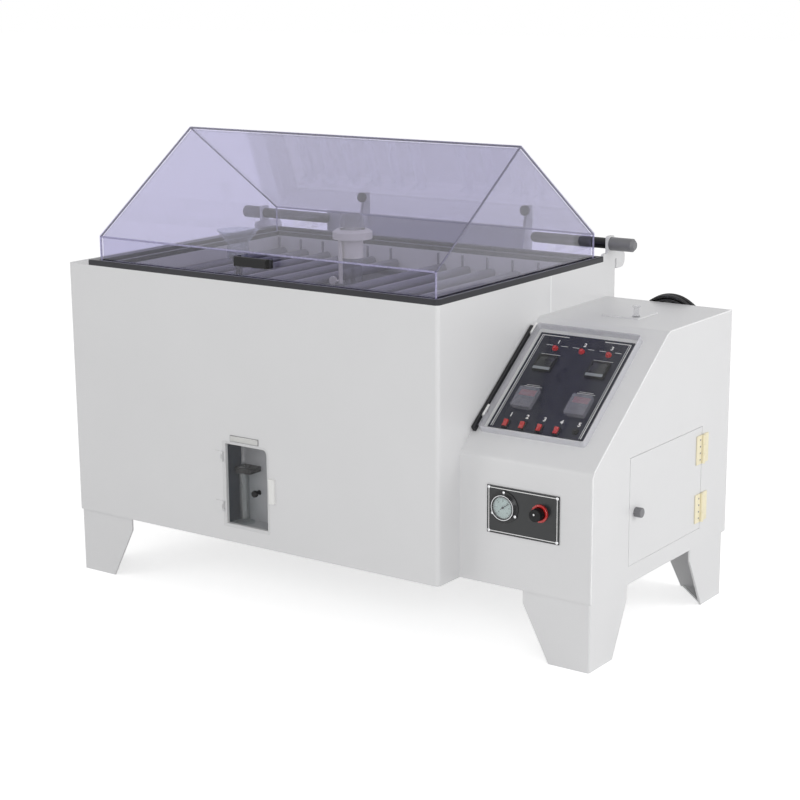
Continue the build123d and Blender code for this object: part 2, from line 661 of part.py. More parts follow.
WINDOW_KNOB_X = WINDOW_LEFT + 103
WINDOW_KNOB_Z = WINDOW_BOTTOM + 91
WINDOW_KNOB_REACH = 21.0
with BuildPart() as window_knob:
    with BuildSketch(Plane.YZ.offset(WINDOW_KNOB_X)):
        face_y = -SEAT_GAP - WINDOW_DOOR
        tip_y = face_y - WINDOW_KNOB_REACH
        outline(
            (face_y, WINDOW_KNOB_Z),
            (face_y, WINDOW_KNOB_Z + 6),
            (face_y - 2, WINDOW_KNOB_Z + 4),
            (tip_y + 10, WINDOW_KNOB_Z + 4),
            (tip_y + 8, WINDOW_KNOB_Z + 8),
            (tip_y + 2, WINDOW_KNOB_Z + 8),
            (tip_y, WINDOW_KNOB_Z + 6),
            (tip_y, WINDOW_KNOB_Z),
        )
    revolve(axis=Axis((WINDOW_KNOB_X, 0, WINDOW_KNOB_Z), (0, 1, 0)))
finish(window_knob, "window_knob")

CATCH_HEIGHT = 58.0
with BuildPart() as window_catch:
    with BuildSketch(Plane.XY.offset(WINDOW_KNOB_Z + 7 - CATCH_HEIGHT / 2)):
        outline(
            (DOOR_RIGHT_X + 1, 0),
            (DOOR_RIGHT_X + 1, -5),
            (DOOR_RIGHT_X + 4, -8),
            (DOOR_RIGHT_X + 14, -8),
            (DOOR_RIGHT_X + 17, -5),
            (DOOR_RIGHT_X + 17, 0),
        )
    extrude(amount=CATCH_HEIGHT)
finish(window_catch, "window_catch")

# Lid: outer gable less the same gable set in by the plate, open below


def gable(inset, bottom):
    """The lid's section on the YZ plane, set in by a plate thickness."""
    front = LID_FRONT + inset
    rear = LID_REAR - inset
    eave = EAVE + inset * PITCH_TAN - inset / PITCH_COS
    ridge = eave + (rear - front) / 2 * PITCH_TAN
    outline((front, bottom), (front, eave), ((front + rear) / 2, ridge), (rear, eave), (rear, bottom))


with BuildPart() as lid:
    with BuildSketch(Plane.YZ.offset(LID_LEFT)):
        gable(0, LID_EDGE)
    extrude(amount=LID_WIDTH)
    with BuildSketch(Plane.YZ.offset(LID_LEFT + LID_PLATE)):
        gable(LID_PLATE, LID_EDGE - LID_PLATE)
    extrude(amount=LID_WIDTH - 2 * LID_PLATE, mode=Mode.SUBTRACT)
finish(lid, "lid")

HANDLE_Z = LID_EDGE + 63
HANDLE_LENGTH = 92.0
HANDLE_HEIGHT = 22.0
HANDLE_REACH = 26.0
HANDLE_END = 15.0
with BuildPart() as lid_handle:
    half = HANDLE_LENGTH / 2
    block(
        (LID_MIDDLE - half, LID_MIDDLE + half),
        (LID_FRONT - HANDLE_REACH, LID_FRONT - HANDLE_REACH + 12),
        (HANDLE_Z - HANDLE_HEIGHT / 2, HANDLE_Z + HANDLE_HEIGHT / 2),
    )
    fillet(lid_handle.edges().filter_by(Axis.X), 4)
    for inner, outer in ((-half, -half - HANDLE_END), (half, half + HANDLE_END)):
        block(
            (LID_MIDDLE + inner, LID_MIDDLE + outer),
            (LID_FRONT - HANDLE_REACH, LID_FRONT),
            (HANDLE_Z - HANDLE_HEIGHT / 2, HANDLE_Z + HANDLE_HEIGHT / 2),
        )
finish(lid_handle, "lid_handle")

# Hinge ears, pivot shafts with their end knobs, and the blocks that carry the lid on the shafts
CHEEK_TOP = RIM_TOP + 5
LOBE_REAR = CABINET_DEPTH + 41
LOBE_BOTTOM = DECK - 24
EAR_LEFTS = (0.0, CABINET_WIDTH - PLATE)
with BuildPart() as hinge_ears:
    for ear_left in EAR_LEFTS:
        with BuildSketch(Plane.YZ.offset(ear_left)) as ear_face:
            outline(
                (RIM_REAR, DECK),
                (RIM_REAR, RIM_TOP),
                (RIM_REAR + 5, CHEEK_TOP),
                (PIVOT_Y - EAR_WIDTH / 2, CHEEK_TOP),
                (PIVOT_Y - EAR_WIDTH / 2, EAR_TOP),
                (PIVOT_Y + EAR_WIDTH / 2, EAR_TOP),
                (PIVOT_Y + EAR_WIDTH / 2, CHEEK_TOP),
                (LOBE_REAR, CHEEK_TOP),
                (LOBE_REAR, LOBE_BOTTOM),
                (CABINET_DEPTH, LOBE_BOTTOM),
                (CABINET_DEPTH, DECK),
            )
            fillet(ear_face.vertices().group_by(Axis.X)[-1], 18)
            fillet(ear_face.vertices().group_by(Axis.Y)[-1], 6)
            with Locations((PIVOT_Y, PIVOT_Z)):
                Circle(SPIGOT_RADIUS + RUNNING_GAP, mode=Mode.SUBTRACT)
        extrude(amount=PLATE)
finish(hinge_ears, "hinge_ears")

SHAFTS = ((PLATE, 1), (CABINET_WIDTH - PLATE, -1))
with BuildPart() as pivot_shafts:
    for shoulder_x, inward in SHAFTS:
        rod((shoulder_x, PIVOT_Y, PIVOT_Z), (inward, 0, 0), SHAFT_RADIUS, SHAFT_LENGTH)
        rod((shoulder_x, PIVOT_Y, PIVOT_Z), (-inward, 0, 0), SPIGOT_RADIUS, PLATE + 30)
    inner_ends = pivot_shafts.edges().filter_by(GeomType.CIRCLE).sort_by(
        lambda e: abs(e.center().X - CABINET_WIDTH / 2)
    )[0:2]
    fillet(inner_ends, SHAFT_RADIUS - 3)
finish(pivot_shafts, "pivot_shafts")

with BuildPart() as shaft_knobs:
    for shoulder_x, inward in SHAFTS:
        rod(
            (shoulder_x - inward * PLATE, PIVOT_Y, PIVOT_Z),
            (-inward, 0, 0),
            KNOB_RADIUS,
            KNOB_LENGTH,
        )
    knob_ends = shaft_knobs.edges().filter_by(GeomType.CIRCLE).sort_by(
        lambda e: abs(e.center().X - CABINET_WIDTH / 2)
    )[-2:]
    chamfer(knob_ends, 6)
    for shoulder_x, inward in SHAFTS:
        rod(
            (shoulder_x, PIVOT_Y, PIVOT_Z),
            (-inward, 0, 0),
            SPIGOT_RADIUS + RUNNING_GAP,
            PLATE + 30.1,
            mode=Mode.SUBTRACT,
        )
finish(shaft_knobs, "shaft_knobs")

BLOCK_XS = (165.0, BOARD_LEFT, CABINET_WIDTH - 130, CABINET_WIDTH - 80)
BLOCK_WIDTH = 24.0
BLOCK_RADIUS = 19.0
with BuildPart() as lid_hinge_blocks:
    for block_x in BLOCK_XS:
        with BuildSketch(Plane.YZ.offset(block_x - BLOCK_WIDTH / 2)) as block_face:
            with Locations((PIVOT_Y, PIVOT_Z)):
                Circle(BLOCK_RADIUS)
            area((LID_REAR, PIVOT_Y), (PIVOT_Z - BLOCK_RADIUS, PIVOT_Z + 6))
            with Locations((PIVOT_Y, PIVOT_Z)):
                Circle(SHAFT_RADIUS + RUNNING_GAP, mode=Mode.SUBTRACT)
        extrude(amount=BLOCK_WIDTH)
finish(lid_hinge_blocks, "lid_hinge_blocks")

# Rear board with two gussets, and the rubber bumpers that the open lid leans on
ROOF_OFFSET = (EAVE - PIVOT_Z) * PITCH_COS - (PIVOT_Y - LID_REAR) * math.sin(math.radians(ROOF_PITCH))
OPEN_ROOF_Y = PIVOT_Y + ROOF_OFFSET
BUMPER_FRONT = OPEN_ROOF_Y + 0.5
BUMPER_LENGTH = 10.0
with BuildPart() as stop_board:
    block(
        (BOARD_LEFT, BOARD_LEFT + BOARD_WIDTH),
        (CABINET_DEPTH - PLATE, CABINET_DEPTH),
        (DECK, BOARD_TOP),
    )
    for gusset_x in (GUSSET_LEFT, GUSSET_RIGHT):
        with BuildSketch(Plane.YZ.offset(gusset_x - PLATE / 2)) as gusset_face:
            outline(
                (CABINET_DEPTH - PLATE, DECK),
                (CABINET_DEPTH - 45, DECK),
                (CABINET_DEPTH - 45, DECK + 8),
                (BUMPER_FRONT + BUMPER_LENGTH, BUMPER_Z - BUMPER_RADIUS),
                (BUMPER_FRONT + BUMPER_LENGTH, BUMPER_Z + BUMPER_RADIUS - 2),
                (CABINET_DEPTH, BUMPER_Z + BUMPER_RADIUS - 2),
                (CABINET_DEPTH, BOARD_TOP),
                (CABINET_DEPTH - PLATE, BOARD_TOP),
            )
        extrude(amount=PLATE)
finish(stop_board, "stop_board")

with BuildPart() as stop_bumpers:
    for gusset_x in (GUSSET_LEFT, GUSSET_RIGHT):
        rod((gusset_x, BUMPER_FRONT, BUMPER_Z), (0, 1, 0), BUMPER_RADIUS, BUMPER_LENGTH)
    fronts = stop_bumpers.edges().filter_by(GeomType.CIRCLE).group_by(Axis.Y)[0]
    fillet(fronts, 3)
finish(stop_bumpers, "stop_bumpers")

# Exhaust and drain stubs through the tank's and the cabinet's rear walls, and the air inlet
with BuildPart() as rear_pipes:
    for pipe_x, pipe_z, pipe_radius in (
        (EXHAUST_X, EXHAUST_Z, EXHAUST_RADIUS),
        (DRAIN_X, DRAIN_Z, DRAIN_RADIUS),
    ):
        length = CABINET_DEPTH + STUB_LENGTH - TANK_REAR
        rod((pipe_x, TANK_REAR, pipe_z), (0, 1, 0), pipe_radius - RUNNING_GAP, length)
        rod((pipe_x, CABINET_DEPTH, pipe_z), (0, 1, 0), pipe_radius + 8, 6)
        rod((pipe_x, TANK_REAR - 1, pipe_z), (0, 1, 0), pipe_radius - 3, length + 9, mode=Mode.SUBTRACT)
finish(rear_pipes, "rear_pipes")

INLET_X = BOX_LEFT + 60
INLET_Z = UNDERSIDE + 75
with BuildPart() as air_inlet:
    rod((INLET_X, BOX_REAR, INLET_Z), (0, 1, 0), 11, 8)
    rod((INLET_X, BOX_REAR, INLET_Z), (0, 1, 0), INLET_RADIUS, 32)
    rod((INLET_X, BOX_REAR - BOX_PLATE, INLET_Z), (0, 1, 0), INLET_RADIUS, BOX_PLATE)
finish(air_inlet, "air_inlet")

# Control box shell: one folded section, hollow, with openings for the door, hatch and pipes
DOOR_REAR = DOOR_FRONT + DOOR_WIDTH
DOOR_TOP = DOOR_BOTTOM + DOOR_HEIGHT
HATCH_RIGHT = HATCH_LEFT + HATCH_SIZE
HATCH_REAR = HATCH_FRONT + HATCH_SIZE
HATCH_LAP = 8.0
HOOK_Z = COIL_Z + COIL_RADIUS - COIL_BAND - HOOK_RADIUS - SEAT_GAP
GLAND_X = BOX_LEFT + 110
GLAND_Z = UNDERSIDE + 160
GLAND_RADIUS = 9.0


def box_section(inset, bend):
    """The box's side profile on the YZ plane, set in by the plate."""
    half_low = math.tan(math.radians(SLOPE_ANGLE) / 2)
    half_high = math.tan(math.radians(90 - SLOPE_ANGLE) / 2)
    with BuildLine() as border:
        FilletPolyline(
            (BOX_REAR - inset, UNDERSIDE + inset),
            (BOX_FRONT + inset, UNDERSIDE + inset),
            (BOX_FRONT + inset, SLOPE_BOTTOM - inset * half_high),
            (BOX_FRONT + SLOPE_REACH + inset * half_low, BOX_TOP - inset),
            (BOX_REAR - inset, BOX_TOP - inset),
            radius=[0, 0, bend, bend, 0],
            close=True,
        )
    make_face(border.edges())


with BuildPart() as control_box:
    with BuildSketch(Plane.YZ.offset(BOX_LEFT)):
        box_section(0, BEND_RADIUS)
    extrude(amount=BOX_WIDTH)
    with BuildSketch(Plane.YZ.offset(BOX_LEFT + BOX_PLATE)):
        box_section(BOX_PLATE, BEND_RADIUS - BOX_PLATE)
    extrude(amount=BOX_WIDTH - 2 * BOX_PLATE, mode=Mode.SUBTRACT)
    block(
        (BOX_RIGHT - 2 * BOX_PLATE, BOX_RIGHT + BOX_PLATE),
        (DOOR_FRONT - DOOR_GAP, DOOR_REAR + DOOR_GAP),
        (DOOR_BOTTOM - DOOR_GAP, DOOR_TOP + DOOR_GAP),
        mode=Mode.SUBTRACT,
    )
    block(
        (HATCH_LEFT + HATCH_LAP, HATCH_RIGHT - HATCH_LAP),
        (HATCH_FRONT + HATCH_LAP, HATCH_REAR - HATCH_LAP),
        (BOX_TOP - 2 * BOX_PLATE, BOX_TOP + BOX_PLATE),
        mode=Mode.SUBTRACT,
    )
    rod((BOX_LEFT - BOX_PLATE, PIPE_HOLE_Y, PIPE_HOLE_Z), (1, 0, 0), 20, 4 * BOX_PLATE, mode=Mode.SUBTRACT)
    rod(
        (INLET_X, BOX_REAR - 2 * BOX_PLATE, INLET_Z),
        (0, 1, 0),
        INLET_RADIUS + RUNNING_GAP,
        30,
        mode=Mode.SUBTRACT,
    )
    rod(
        (GLAND_X, BOX_REAR - 2 * BOX_PLATE, GLAND_Z),
        (0, 1, 0),
        GLAND_RADIUS + RUNNING_GAP,
        30,
        mode=Mode.SUBTRACT,
    )
    rod(
        (REGULATOR_X, BOX_FRONT - 9, REGULATOR_Z),
        (0, 1, 0),
        REGULATOR_KNOB + RUNNING_GAP,
        30,
        mode=Mode.SUBTRACT,
    )
    rod((GAUGE_X, BOX_FRONT - 9, GAUGE_Z), (0, 1, 0), GAUGE_RADIUS - 2, 30, mode=Mode.SUBTRACT)
    rod((COIL_X, BOX_REAR - 1, HOOK_Z), (0, 1, 0), HOOK_RADIUS, COIL_DEPTH + 14)
    block(
        (COIL_X - HOOK_RADIUS, COIL_X + HOOK_RADIUS),
        (BOX_REAR + COIL_DEPTH + 9, BOX_REAR + COIL_DEPTH + 9 + 2 * HOOK_RADIUS),
        (HOOK_Z - HOOK_RADIUS, HOOK_Z + 18),
    )
finish(control_box, "control_box_shell")

# Legs: folded and tapered sheet with a triangular foot plate


def leg(corner_x, corner_y, side_x, side_y):
    """One leg from its outer corner, reaching inwards along the two signs."""
    top = UNDERSIDE

    def flange(plane, corner, sign, depth):
        with BuildSketch(plane) as face:
            outline(
                (corner, 0),
                (corner + sign * LEG_FOOT_WIDTH, 0),
                (corner + sign * LEG_TOP_WIDTH, top - LEG_STRAIGHT),
                (corner + sign * LEG_TOP_WIDTH, top),
                (corner, top),
            )
        extrude(face.sketch, amount=depth)

    flange(Plane.XZ.offset(-corner_y), corner_x, side_x, -side_y * LEG_SHEET)
    flange(Plane.YZ.offset(corner_x), corner_y, side_y, side_x * LEG_SHEET)
    with BuildSketch(Plane.XY) as foot:
        outline(
            (corner_x, corner_y),
            (corner_x + side_x * LEG_FOOT_WIDTH, corner_y),
            (corner_x, corner_y + side_y * LEG_FOOT_WIDTH),
        )
    extrude(foot.sketch, amount=LEG_SHEET)


LEFT_X = LEG_INSET
RIGHT_X = BOX_RIGHT - LEG_INSET
with BuildPart() as legs:
    leg(LEFT_X, LEG_INSET, 1, 1)
    leg(LEFT_X, CABINET_DEPTH - LEG_INSET, 1, -1)
    leg(RIGHT_X, BOX_FRONT + LEG_INSET, -1, 1)
    leg(RIGHT_X, BOX_REAR - LEG_INSET, -1, -1)
    upright = legs.edges().filter_by(Axis.Z).group_by(Axis.X)
    fillet(upright[0] + upright[-1], 4)
finish(legs, "legs")

# Control panel on the slope, with its controllers, timers, lamps and switch bezels
PANEL_RIGHT = PANEL_LEFT + PANEL_WIDTH
PANEL_END = PANEL_START + PANEL_LENGTH
PANEL_TOP = SLOPE.offset(PANEL_PLATE)
with BuildPart() as control_panel:
    with BuildSketch(SLOPE):
        area((PANEL_LEFT, PANEL_RIGHT), (PANEL_START, PANEL_END))
    extrude(amount=PANEL_PLATE)
finish(control_panel, "control_panel")

CONTROLLER_XS = (PANEL_LEFT + 53, PANEL_LEFT + 185)
CONTROLLER_S = 271.0
with BuildPart() as controllers:
    with BuildSketch(PANEL_TOP):
        with Locations(*((x, CONTROLLER_S) for x in CONTROLLER_XS)):
            RectangleRounded(CONTROLLER_SIZE, CONTROLLER_SIZE, 2)
    extrude(amount=7)
    with BuildSketch(PANEL_TOP.offset(7)):
        with Locations(*((x, CONTROLLER_S + 3) for x in CONTROLLER_XS)):
            Rectangle(CONTROLLER_SIZE - 8, CONTROLLER_SIZE - 16)
    extrude(amount=-1.5, mode=Mode.SUBTRACT)
    with BuildSketch(PANEL_TOP.offset(7)):
        for x in CONTROLLER_XS:
            with Locations((x, CONTROLLER_S - CONTROLLER_SIZE / 2 + 5)):
                with GridLocations(9, 1, 4, 1):
                    RectangleRounded(6, 4, 1)
    extrude(amount=0.8)
finish(controllers, "controllers")

TIMER_IN = 56.0
TIMER_PITCH = 133.0
TIMER_XS = (PANEL_LEFT + TIMER_IN, PANEL_LEFT + TIMER_IN + TIMER_PITCH)
TIMER_S = 166.0
with BuildPart() as timers:
    with BuildSketch(PANEL_TOP):
        with Locations(*((x, TIMER_S) for x in TIMER_XS)):
            RectangleRounded(TIMER_WIDTH - 6, TIMER_LENGTH - 6, 2)
    extrude(amount=8)
    with BuildSketch(PANEL_TOP.offset(8)):
        with Locations(*((x, TIMER_S + 9) for x in TIMER_XS)):
            Rectangle(TIMER_WIDTH - 16, 18)
    extrude(amount=-1, mode=Mode.SUBTRACT)
finish(timers, "timers")

with BuildPart() as timer_covers:
    with BuildSketch(PANEL_TOP):
        with Locations(*((x, TIMER_S) for x in TIMER_XS)):
            RectangleRounded(TIMER_WIDTH, TIMER_LENGTH, 4)
    extrude(amount=12)
    with BuildSketch(PANEL_TOP):
        with Locations(*((x, TIMER_S) for x in TIMER_XS)):
            Rectangle(TIMER_WIDTH - 4, TIMER_LENGTH - 4)
    extrude(amount=10, mode=Mode.SUBTRACT)
finish(timer_covers, "timer_covers")

LAMP_XS = (PANEL_LEFT + 56, PANEL_LEFT + 123, PANEL_LEFT + 190)
LAMP_S = 318.0
with BuildPart() as indicator_lamps:
    with BuildSketch(PANEL_TOP):
        with Locations(*((x, LAMP_S) for x in LAMP_XS)):
            Circle(LAMP_RADIUS)
    extrude(amount=2)
    with BuildSketch(PANEL_TOP.offset(2)):
        with Locations(*((x, LAMP_S) for x in LAMP_XS)):
            Circle(LAMP_RADIUS - 1.5)
    extrude(amount=5, taper=12)
finish(indicator_lamps, "indicator_lamps")

SWITCH_XS = (PANEL_LEFT + 41, PANEL_LEFT + 82, PANEL_LEFT + 125, PANEL_LEFT + 167)
SWITCH_S = 93.0
BUTTON_X = PANEL_LEFT + 210
BUTTON_S = 100.0
BEZEL_HEIGHT = 4.0
PIVOT_HEIGHT = 3.5
FIT_GAP = 0.3
with BuildPart() as switch_bezels:
    with BuildSketch(PANEL_TOP):
        with Locations(*((x, SWITCH_S) for x in SWITCH_XS)):
            RectangleRounded(ROCKER_WIDTH + 5, ROCKER_LENGTH + 5, 1.5)
            Rectangle(ROCKER_WIDTH + 2 * FIT_GAP, ROCKER_LENGTH + 2 * FIT_GAP, mode=Mode.SUBTRACT)
        with Locations((BUTTON_X, BUTTON_S)):
            Circle(BUTTON_RADIUS + 3)
            Circle(BUTTON_RADIUS + RUNNING_GAP, mode=Mode.SUBTRACT)
    extrude(amount=BEZEL_HEIGHT)
finish(switch_bezels, "switch_bezels")


def slope_point(x, s, height):
    """A point over the slope in the chamber's own axes."""
    return SLOPE.from_local_coords((x, s, height))


def rocker(x):
    """One rocker: a shallow V seen from its end, tilted back about its pivot at rest."""
    half_length = ROCKER_LENGTH / 2 - 0.6
    pivot = slope_point(x - ROCKER_WIDTH / 2, SWITCH_S, PANEL_PLATE + PIVOT_HEIGHT)
    tilt = math.radians(SLOPE_ANGLE + ROCKER_TILT)
    side = Plane(origin=pivot, x_dir=(0, math.cos(tilt), math.sin(tilt)), z_dir=(1, 0, 0))
    with BuildPart() as piece:
        with BuildSketch(side):
            outline(
                (-half_length, 0.2),
                (-half_length, 4.2),
                (0, 2.8),
                (half_length, 4.2),
                (half_length, 0.2),
                (0, 0.2 - PIVOT_HEIGHT),
            )
        extrude(amount=ROCKER_WIDTH)
    return piece


for number, switch_x in enumerate(SWITCH_XS, start=1):
    finish(rocker(switch_x), f"rocker_{number}")

with BuildPart() as panel_button:
    with BuildSketch(PANEL_TOP.offset(BUTTON_TRAVEL + 0.5)):
        with Locations((BUTTON_X, BUTTON_S)):
            Circle(BUTTON_RADIUS)
    extrude(amount=5)
    fillet(panel_button.faces().sort_by(SLOPE_OUT)[-1].edges(), 1)
finish(panel_button, "panel_button")

# Clear cover over the panel, hinged along its left edge on two white hinges
COVER_LEFT = PANEL_LEFT - COVER_MARGIN + 2
COVER_RIGHT = PANEL_RIGHT + COVER_MARGIN
COVER_START = PANEL_START - COVER_MARGIN - 2
COVER_END = PANEL_END + COVER_MARGIN
COVER_AXIS_X = COVER_LEFT - 4.5
COVER_AXIS_H = 12.0
COVER_PIN = 1.5
COVER_KNUCKLE = 3.5
COVER_HINGE = 30.0
COVER_HINGE_S = (COVER_START + 50, COVER_END - 14)
with BuildPart() as panel_cover:
    with BuildSketch(SLOPE.offset(SEAT_GAP)) as cover_outline:
        area((COVER_LEFT, COVER_RIGHT), (COVER_START, COVER_END))
        fillet(cover_outline.vertices(), 8)
    extrude(amount=COVER_HEIGHT - SEAT_GAP)
    with BuildSketch(SLOPE) as cover_hollow:
        area(
            (COVER_LEFT + COVER_PLATE, COVER_RIGHT - COVER_PLATE),
            (COVER_START + COVER_PLATE, COVER_END - COVER_PLATE),
        )
        fillet(cover_hollow.vertices(), 5)
    extrude(amount=COVER_HEIGHT - COVER_PLATE, mode=Mode.SUBTRACT)
    fillet(panel_cover.faces().sort_by(SLOPE_OUT)[-1].edges(), 2)
finish(panel_cover, "panel_cover")


def cover_knuckles(ranges, radius, height_range, reach, bored):
    """Hinge knuckles on the cover's axis with a leaf that runs to the side."""
    for low, high in ranges:
        with BuildSketch(Plane(origin=slope_point(0, low, 0), x_dir=(1, 0, 0), z_dir=SLOPE.y_dir)) as end:
            with Locations((COVER_AXIS_X, -COVER_AXIS_H)):
                Circle(radius)
            area((COVER_AXIS_X, reach), (-height_range[1], -height_range[0]))
            if bored:
                with Locations((COVER_AXIS_X, -COVER_AXIS_H)):
                    Circle(COVER_PIN + RUNNING_GAP, mode=Mode.SUBTRACT)
        extrude(end.sketch, amount=high - low)


with BuildPart() as cover_leaves:
    for hinge_s in COVER_HINGE_S:
        cover_knuckles(
            ((hinge_s - 7, hinge_s + 7),),
            COVER_KNUCKLE,
            (COVER_AXIS_H - 1.5, COVER_AXIS_H + 3),
            COVER_LEFT,
            True,
        )
finish(cover_leaves, "cover_leaves")

with BuildPart() as cover_hinges:
    for hinge_s in COVER_HINGE_S:
        half_hinge = COVER_HINGE / 2
        cover_knuckles(
            ((hinge_s - half_hinge, hinge_s - 7.3), (hinge_s + 7.3, hinge_s + half_hinge)),
            COVER_KNUCKLE,
            (0, COVER_AXIS_H),
            COVER_AXIS_X - 4,
            False,
        )
        with BuildSketch(SLOPE):
            area((BOX_LEFT + 1, COVER_AXIS_X - COVER_KNUCKLE - 0.5), (hinge_s - half_hinge, hinge_s + half_hinge))
        extrude(amount=2)
        with BuildSketch(
            Plane(
                origin=slope_point(0, hinge_s - half_hinge, 0),
                x_dir=(1, 0, 0),
                z_dir=SLOPE.y_dir,
            )
        ):
            with Locations((COVER_AXIS_X, -COVER_AXIS_H)):
                Circle(COVER_PIN)
        extrude(amount=COVER_HINGE)
finish(cover_hinges, "cover_hinges")

# Gauge plate with the pressure gauge and the air regulator
with BuildPart() as gauge_plate:
    with BuildSketch(Plane.XZ.offset(-BOX_FRONT)):
        area((PLATE_LEFT, PLATE_LEFT + PLATE_WIDTH), (PLATE_BOTTOM, PLATE_BOTTOM + PLATE_HEIGHT))
        with Locations((GAUGE_X, GAUGE_Z)):
            Circle(GAUGE_RADIUS - 2, mode=Mode.SUBTRACT)
        with Locations((REGULATOR_X, REGULATOR_Z)):
            Circle(REGULATOR_KNOB + RUNNING_GAP, mode=Mode.SUBTRACT)
    extrude(amount=PLATE_THICK)
finish(gauge_plate, "gauge_plate")

PLATE_FRONT = BOX_FRONT - PLATE_THICK
GAUGE_DEPTH = 9.0
with BuildPart() as pressure_gauge:
    with BuildSketch(Plane.XZ.offset(-PLATE_FRONT)):
        with Locations((GAUGE_X, GAUGE_Z)):
            Circle(GAUGE_RADIUS + 2)
            with PolarLocations(GAUGE_FLANGE, 3, start_angle=90):
                Circle(5)
    extrude(amount=2)
    with BuildSketch(Plane.XZ.offset(-PLATE_FRONT)):
        with Locations((GAUGE_X, GAUGE_Z)):
            Circle(GAUGE_RADIUS)
    extrude(amount=GAUGE_DEPTH)
    with BuildSketch(Plane.XZ.offset(-PLATE_FRONT + GAUGE_DEPTH)):
        with Locations((GAUGE_X, GAUGE_Z)):
            Circle(GAUGE_RADIUS - 2)
    extrude(amount=-5, mode=Mode.SUBTRACT)
    rod((GAUGE_X, PLATE_FRONT, GAUGE_Z), (0, 1, 0), GAUGE_RADIUS - 2.3, 30)
    rod((GAUGE_X, PLATE_FRONT, GAUGE_Z), (0, -1, 0), 1, GAUGE_DEPTH - 1.5)
finish(pressure_gauge, "pressure_gauge")

NEEDLE_ANGLE = 35.0
NEEDLE_LENGTH = 25.0
NEEDLE_TAIL = 7.0
with BuildPart() as gauge_needle:
    with BuildSketch(Plane.XZ.offset(-PLATE_FRONT + GAUGE_DEPTH - 3.4)):
        with Locations(Location((GAUGE_X, GAUGE_Z), NEEDLE_ANGLE)):
            Circle(2.6)
            with Locations((NEEDLE_LENGTH / 2 - NEEDLE_TAIL, 0)):
                Rectangle(NEEDLE_LENGTH, 1.4)
            Circle(1 + RUNNING_GAP, mode=Mode.SUBTRACT)
    extrude(amount=1)
finish(gauge_needle, "gauge_needle")

with BuildPart() as regulator_body:
    with BuildSketch(Plane.XZ.offset(-PLATE_FRONT)):
        with Locations((REGULATOR_X, REGULATOR_Z)):
            Circle(REGULATOR_RING)
            Circle(REGULATOR_KNOB + RUNNING_GAP, mode=Mode.SUBTRACT)
    extrude(amount=5)
    fillet(regulator_body.edges().filter_by(GeomType.CIRCLE).group_by(Axis.Y)[0], 1.5)
    rod((REGULATOR_X, BOX_FRONT + BOX_PLATE, REGULATOR_Z), (0, 1, 0), REGULATOR_KNOB + 6, 35)
    rod((REGULATOR_X, PLATE_FRONT - 4, REGULATOR_Z), (0, 1, 0), 4, 20)
finish(regulator_body, "regulator_body")

KNOB_REACH = 26.0
with BuildPart() as regulator_knob:
    with BuildSketch(Plane.XZ.offset(-BOX_FRONT)):
        with Locations((REGULATOR_X, REGULATOR_Z)):
            Circle(REGULATOR_KNOB)
            with PolarLocations(REGULATOR_KNOB + 0.4, 24):
                Circle(0.9, mode=Mode.SUBTRACT)
    extrude(amount=KNOB_REACH)
    fillet(regulator_knob.faces().sort_by(Axis.Y)[0].outer_wire().edges(), 0.8)
    rod((REGULATOR_X, BOX_FRONT + 1, REGULATOR_Z), (0, -1, 0), 4 + RUNNING_GAP, 10, mode=Mode.SUBTRACT)
finish(regulator_knob, "regulator_knob")

# Access door, its ivory hinges and its cam lock
with BuildPart() as access_door:
    block((BOX_RIGHT - 3, BOX_RIGHT), (DOOR_FRONT, DOOR_REAR), (DOOR_BOTTOM, DOOR_TOP))
    block(
        (BOX_RIGHT - 12, BOX_RIGHT),
        (DOOR_FRONT + 8, DOOR_REAR - 14),
        (DOOR_BOTTOM + 8, DOOR_TOP - 8),
    )
    block(
        (BOX_RIGHT - 13, BOX_RIGHT - 3),
        (DOOR_FRONT + 11, DOOR_REAR - 17),
        (DOOR_BOTTOM + 11, DOOR_TOP - 11),
        mode=Mode.SUBTRACT,
    )
    rod((BOX_RIGHT - 20, LOCK_Y, LOCK_Z), (1, 0, 0), 8 + RUNNING_GAP, 40, mode=Mode.SUBTRACT)
finish(access_door, "access_door")

DOOR_AXIS_X = BOX_RIGHT + 4.5
DOOR_AXIS_Y = DOOR_REAR + DOOR_GAP / 2
DOOR_PIN = 2.0
DOOR_KNUCKLE = 4.3
LEAF_WIDTH = 38.0
LEAF_THICK = 4.0
LEAF_GAP = 0.3
DOOR_HINGE_ZS = (DOOR_BOTTOM + 1 + DOOR_HINGE_LENGTH / 2, DOOR_TOP - 3 - DOOR_HINGE_LENGTH / 2)


def door_knuckle(low, high, reach, bored):
    """One knuckle of the door hinge, bored where it turns on the pin."""
    with BuildSketch(Plane.XY.offset(low)) as end:
        with Locations((DOOR_AXIS_X, DOOR_AXIS_Y)):
            Circle(DOOR_KNUCKLE)
        area((DOOR_AXIS_X - DOOR_KNUCKLE, DOOR_AXIS_X - DOOR_KNUCKLE + LEAF_THICK), (DOOR_AXIS_Y, reach))
        if bored:
            with Locations((DOOR_AXIS_X, DOOR_AXIS_Y)):
                Circle(DOOR_PIN + RUNNING_GAP, mode=Mode.SUBTRACT)
    extrude(end.sketch, amount=high - low)


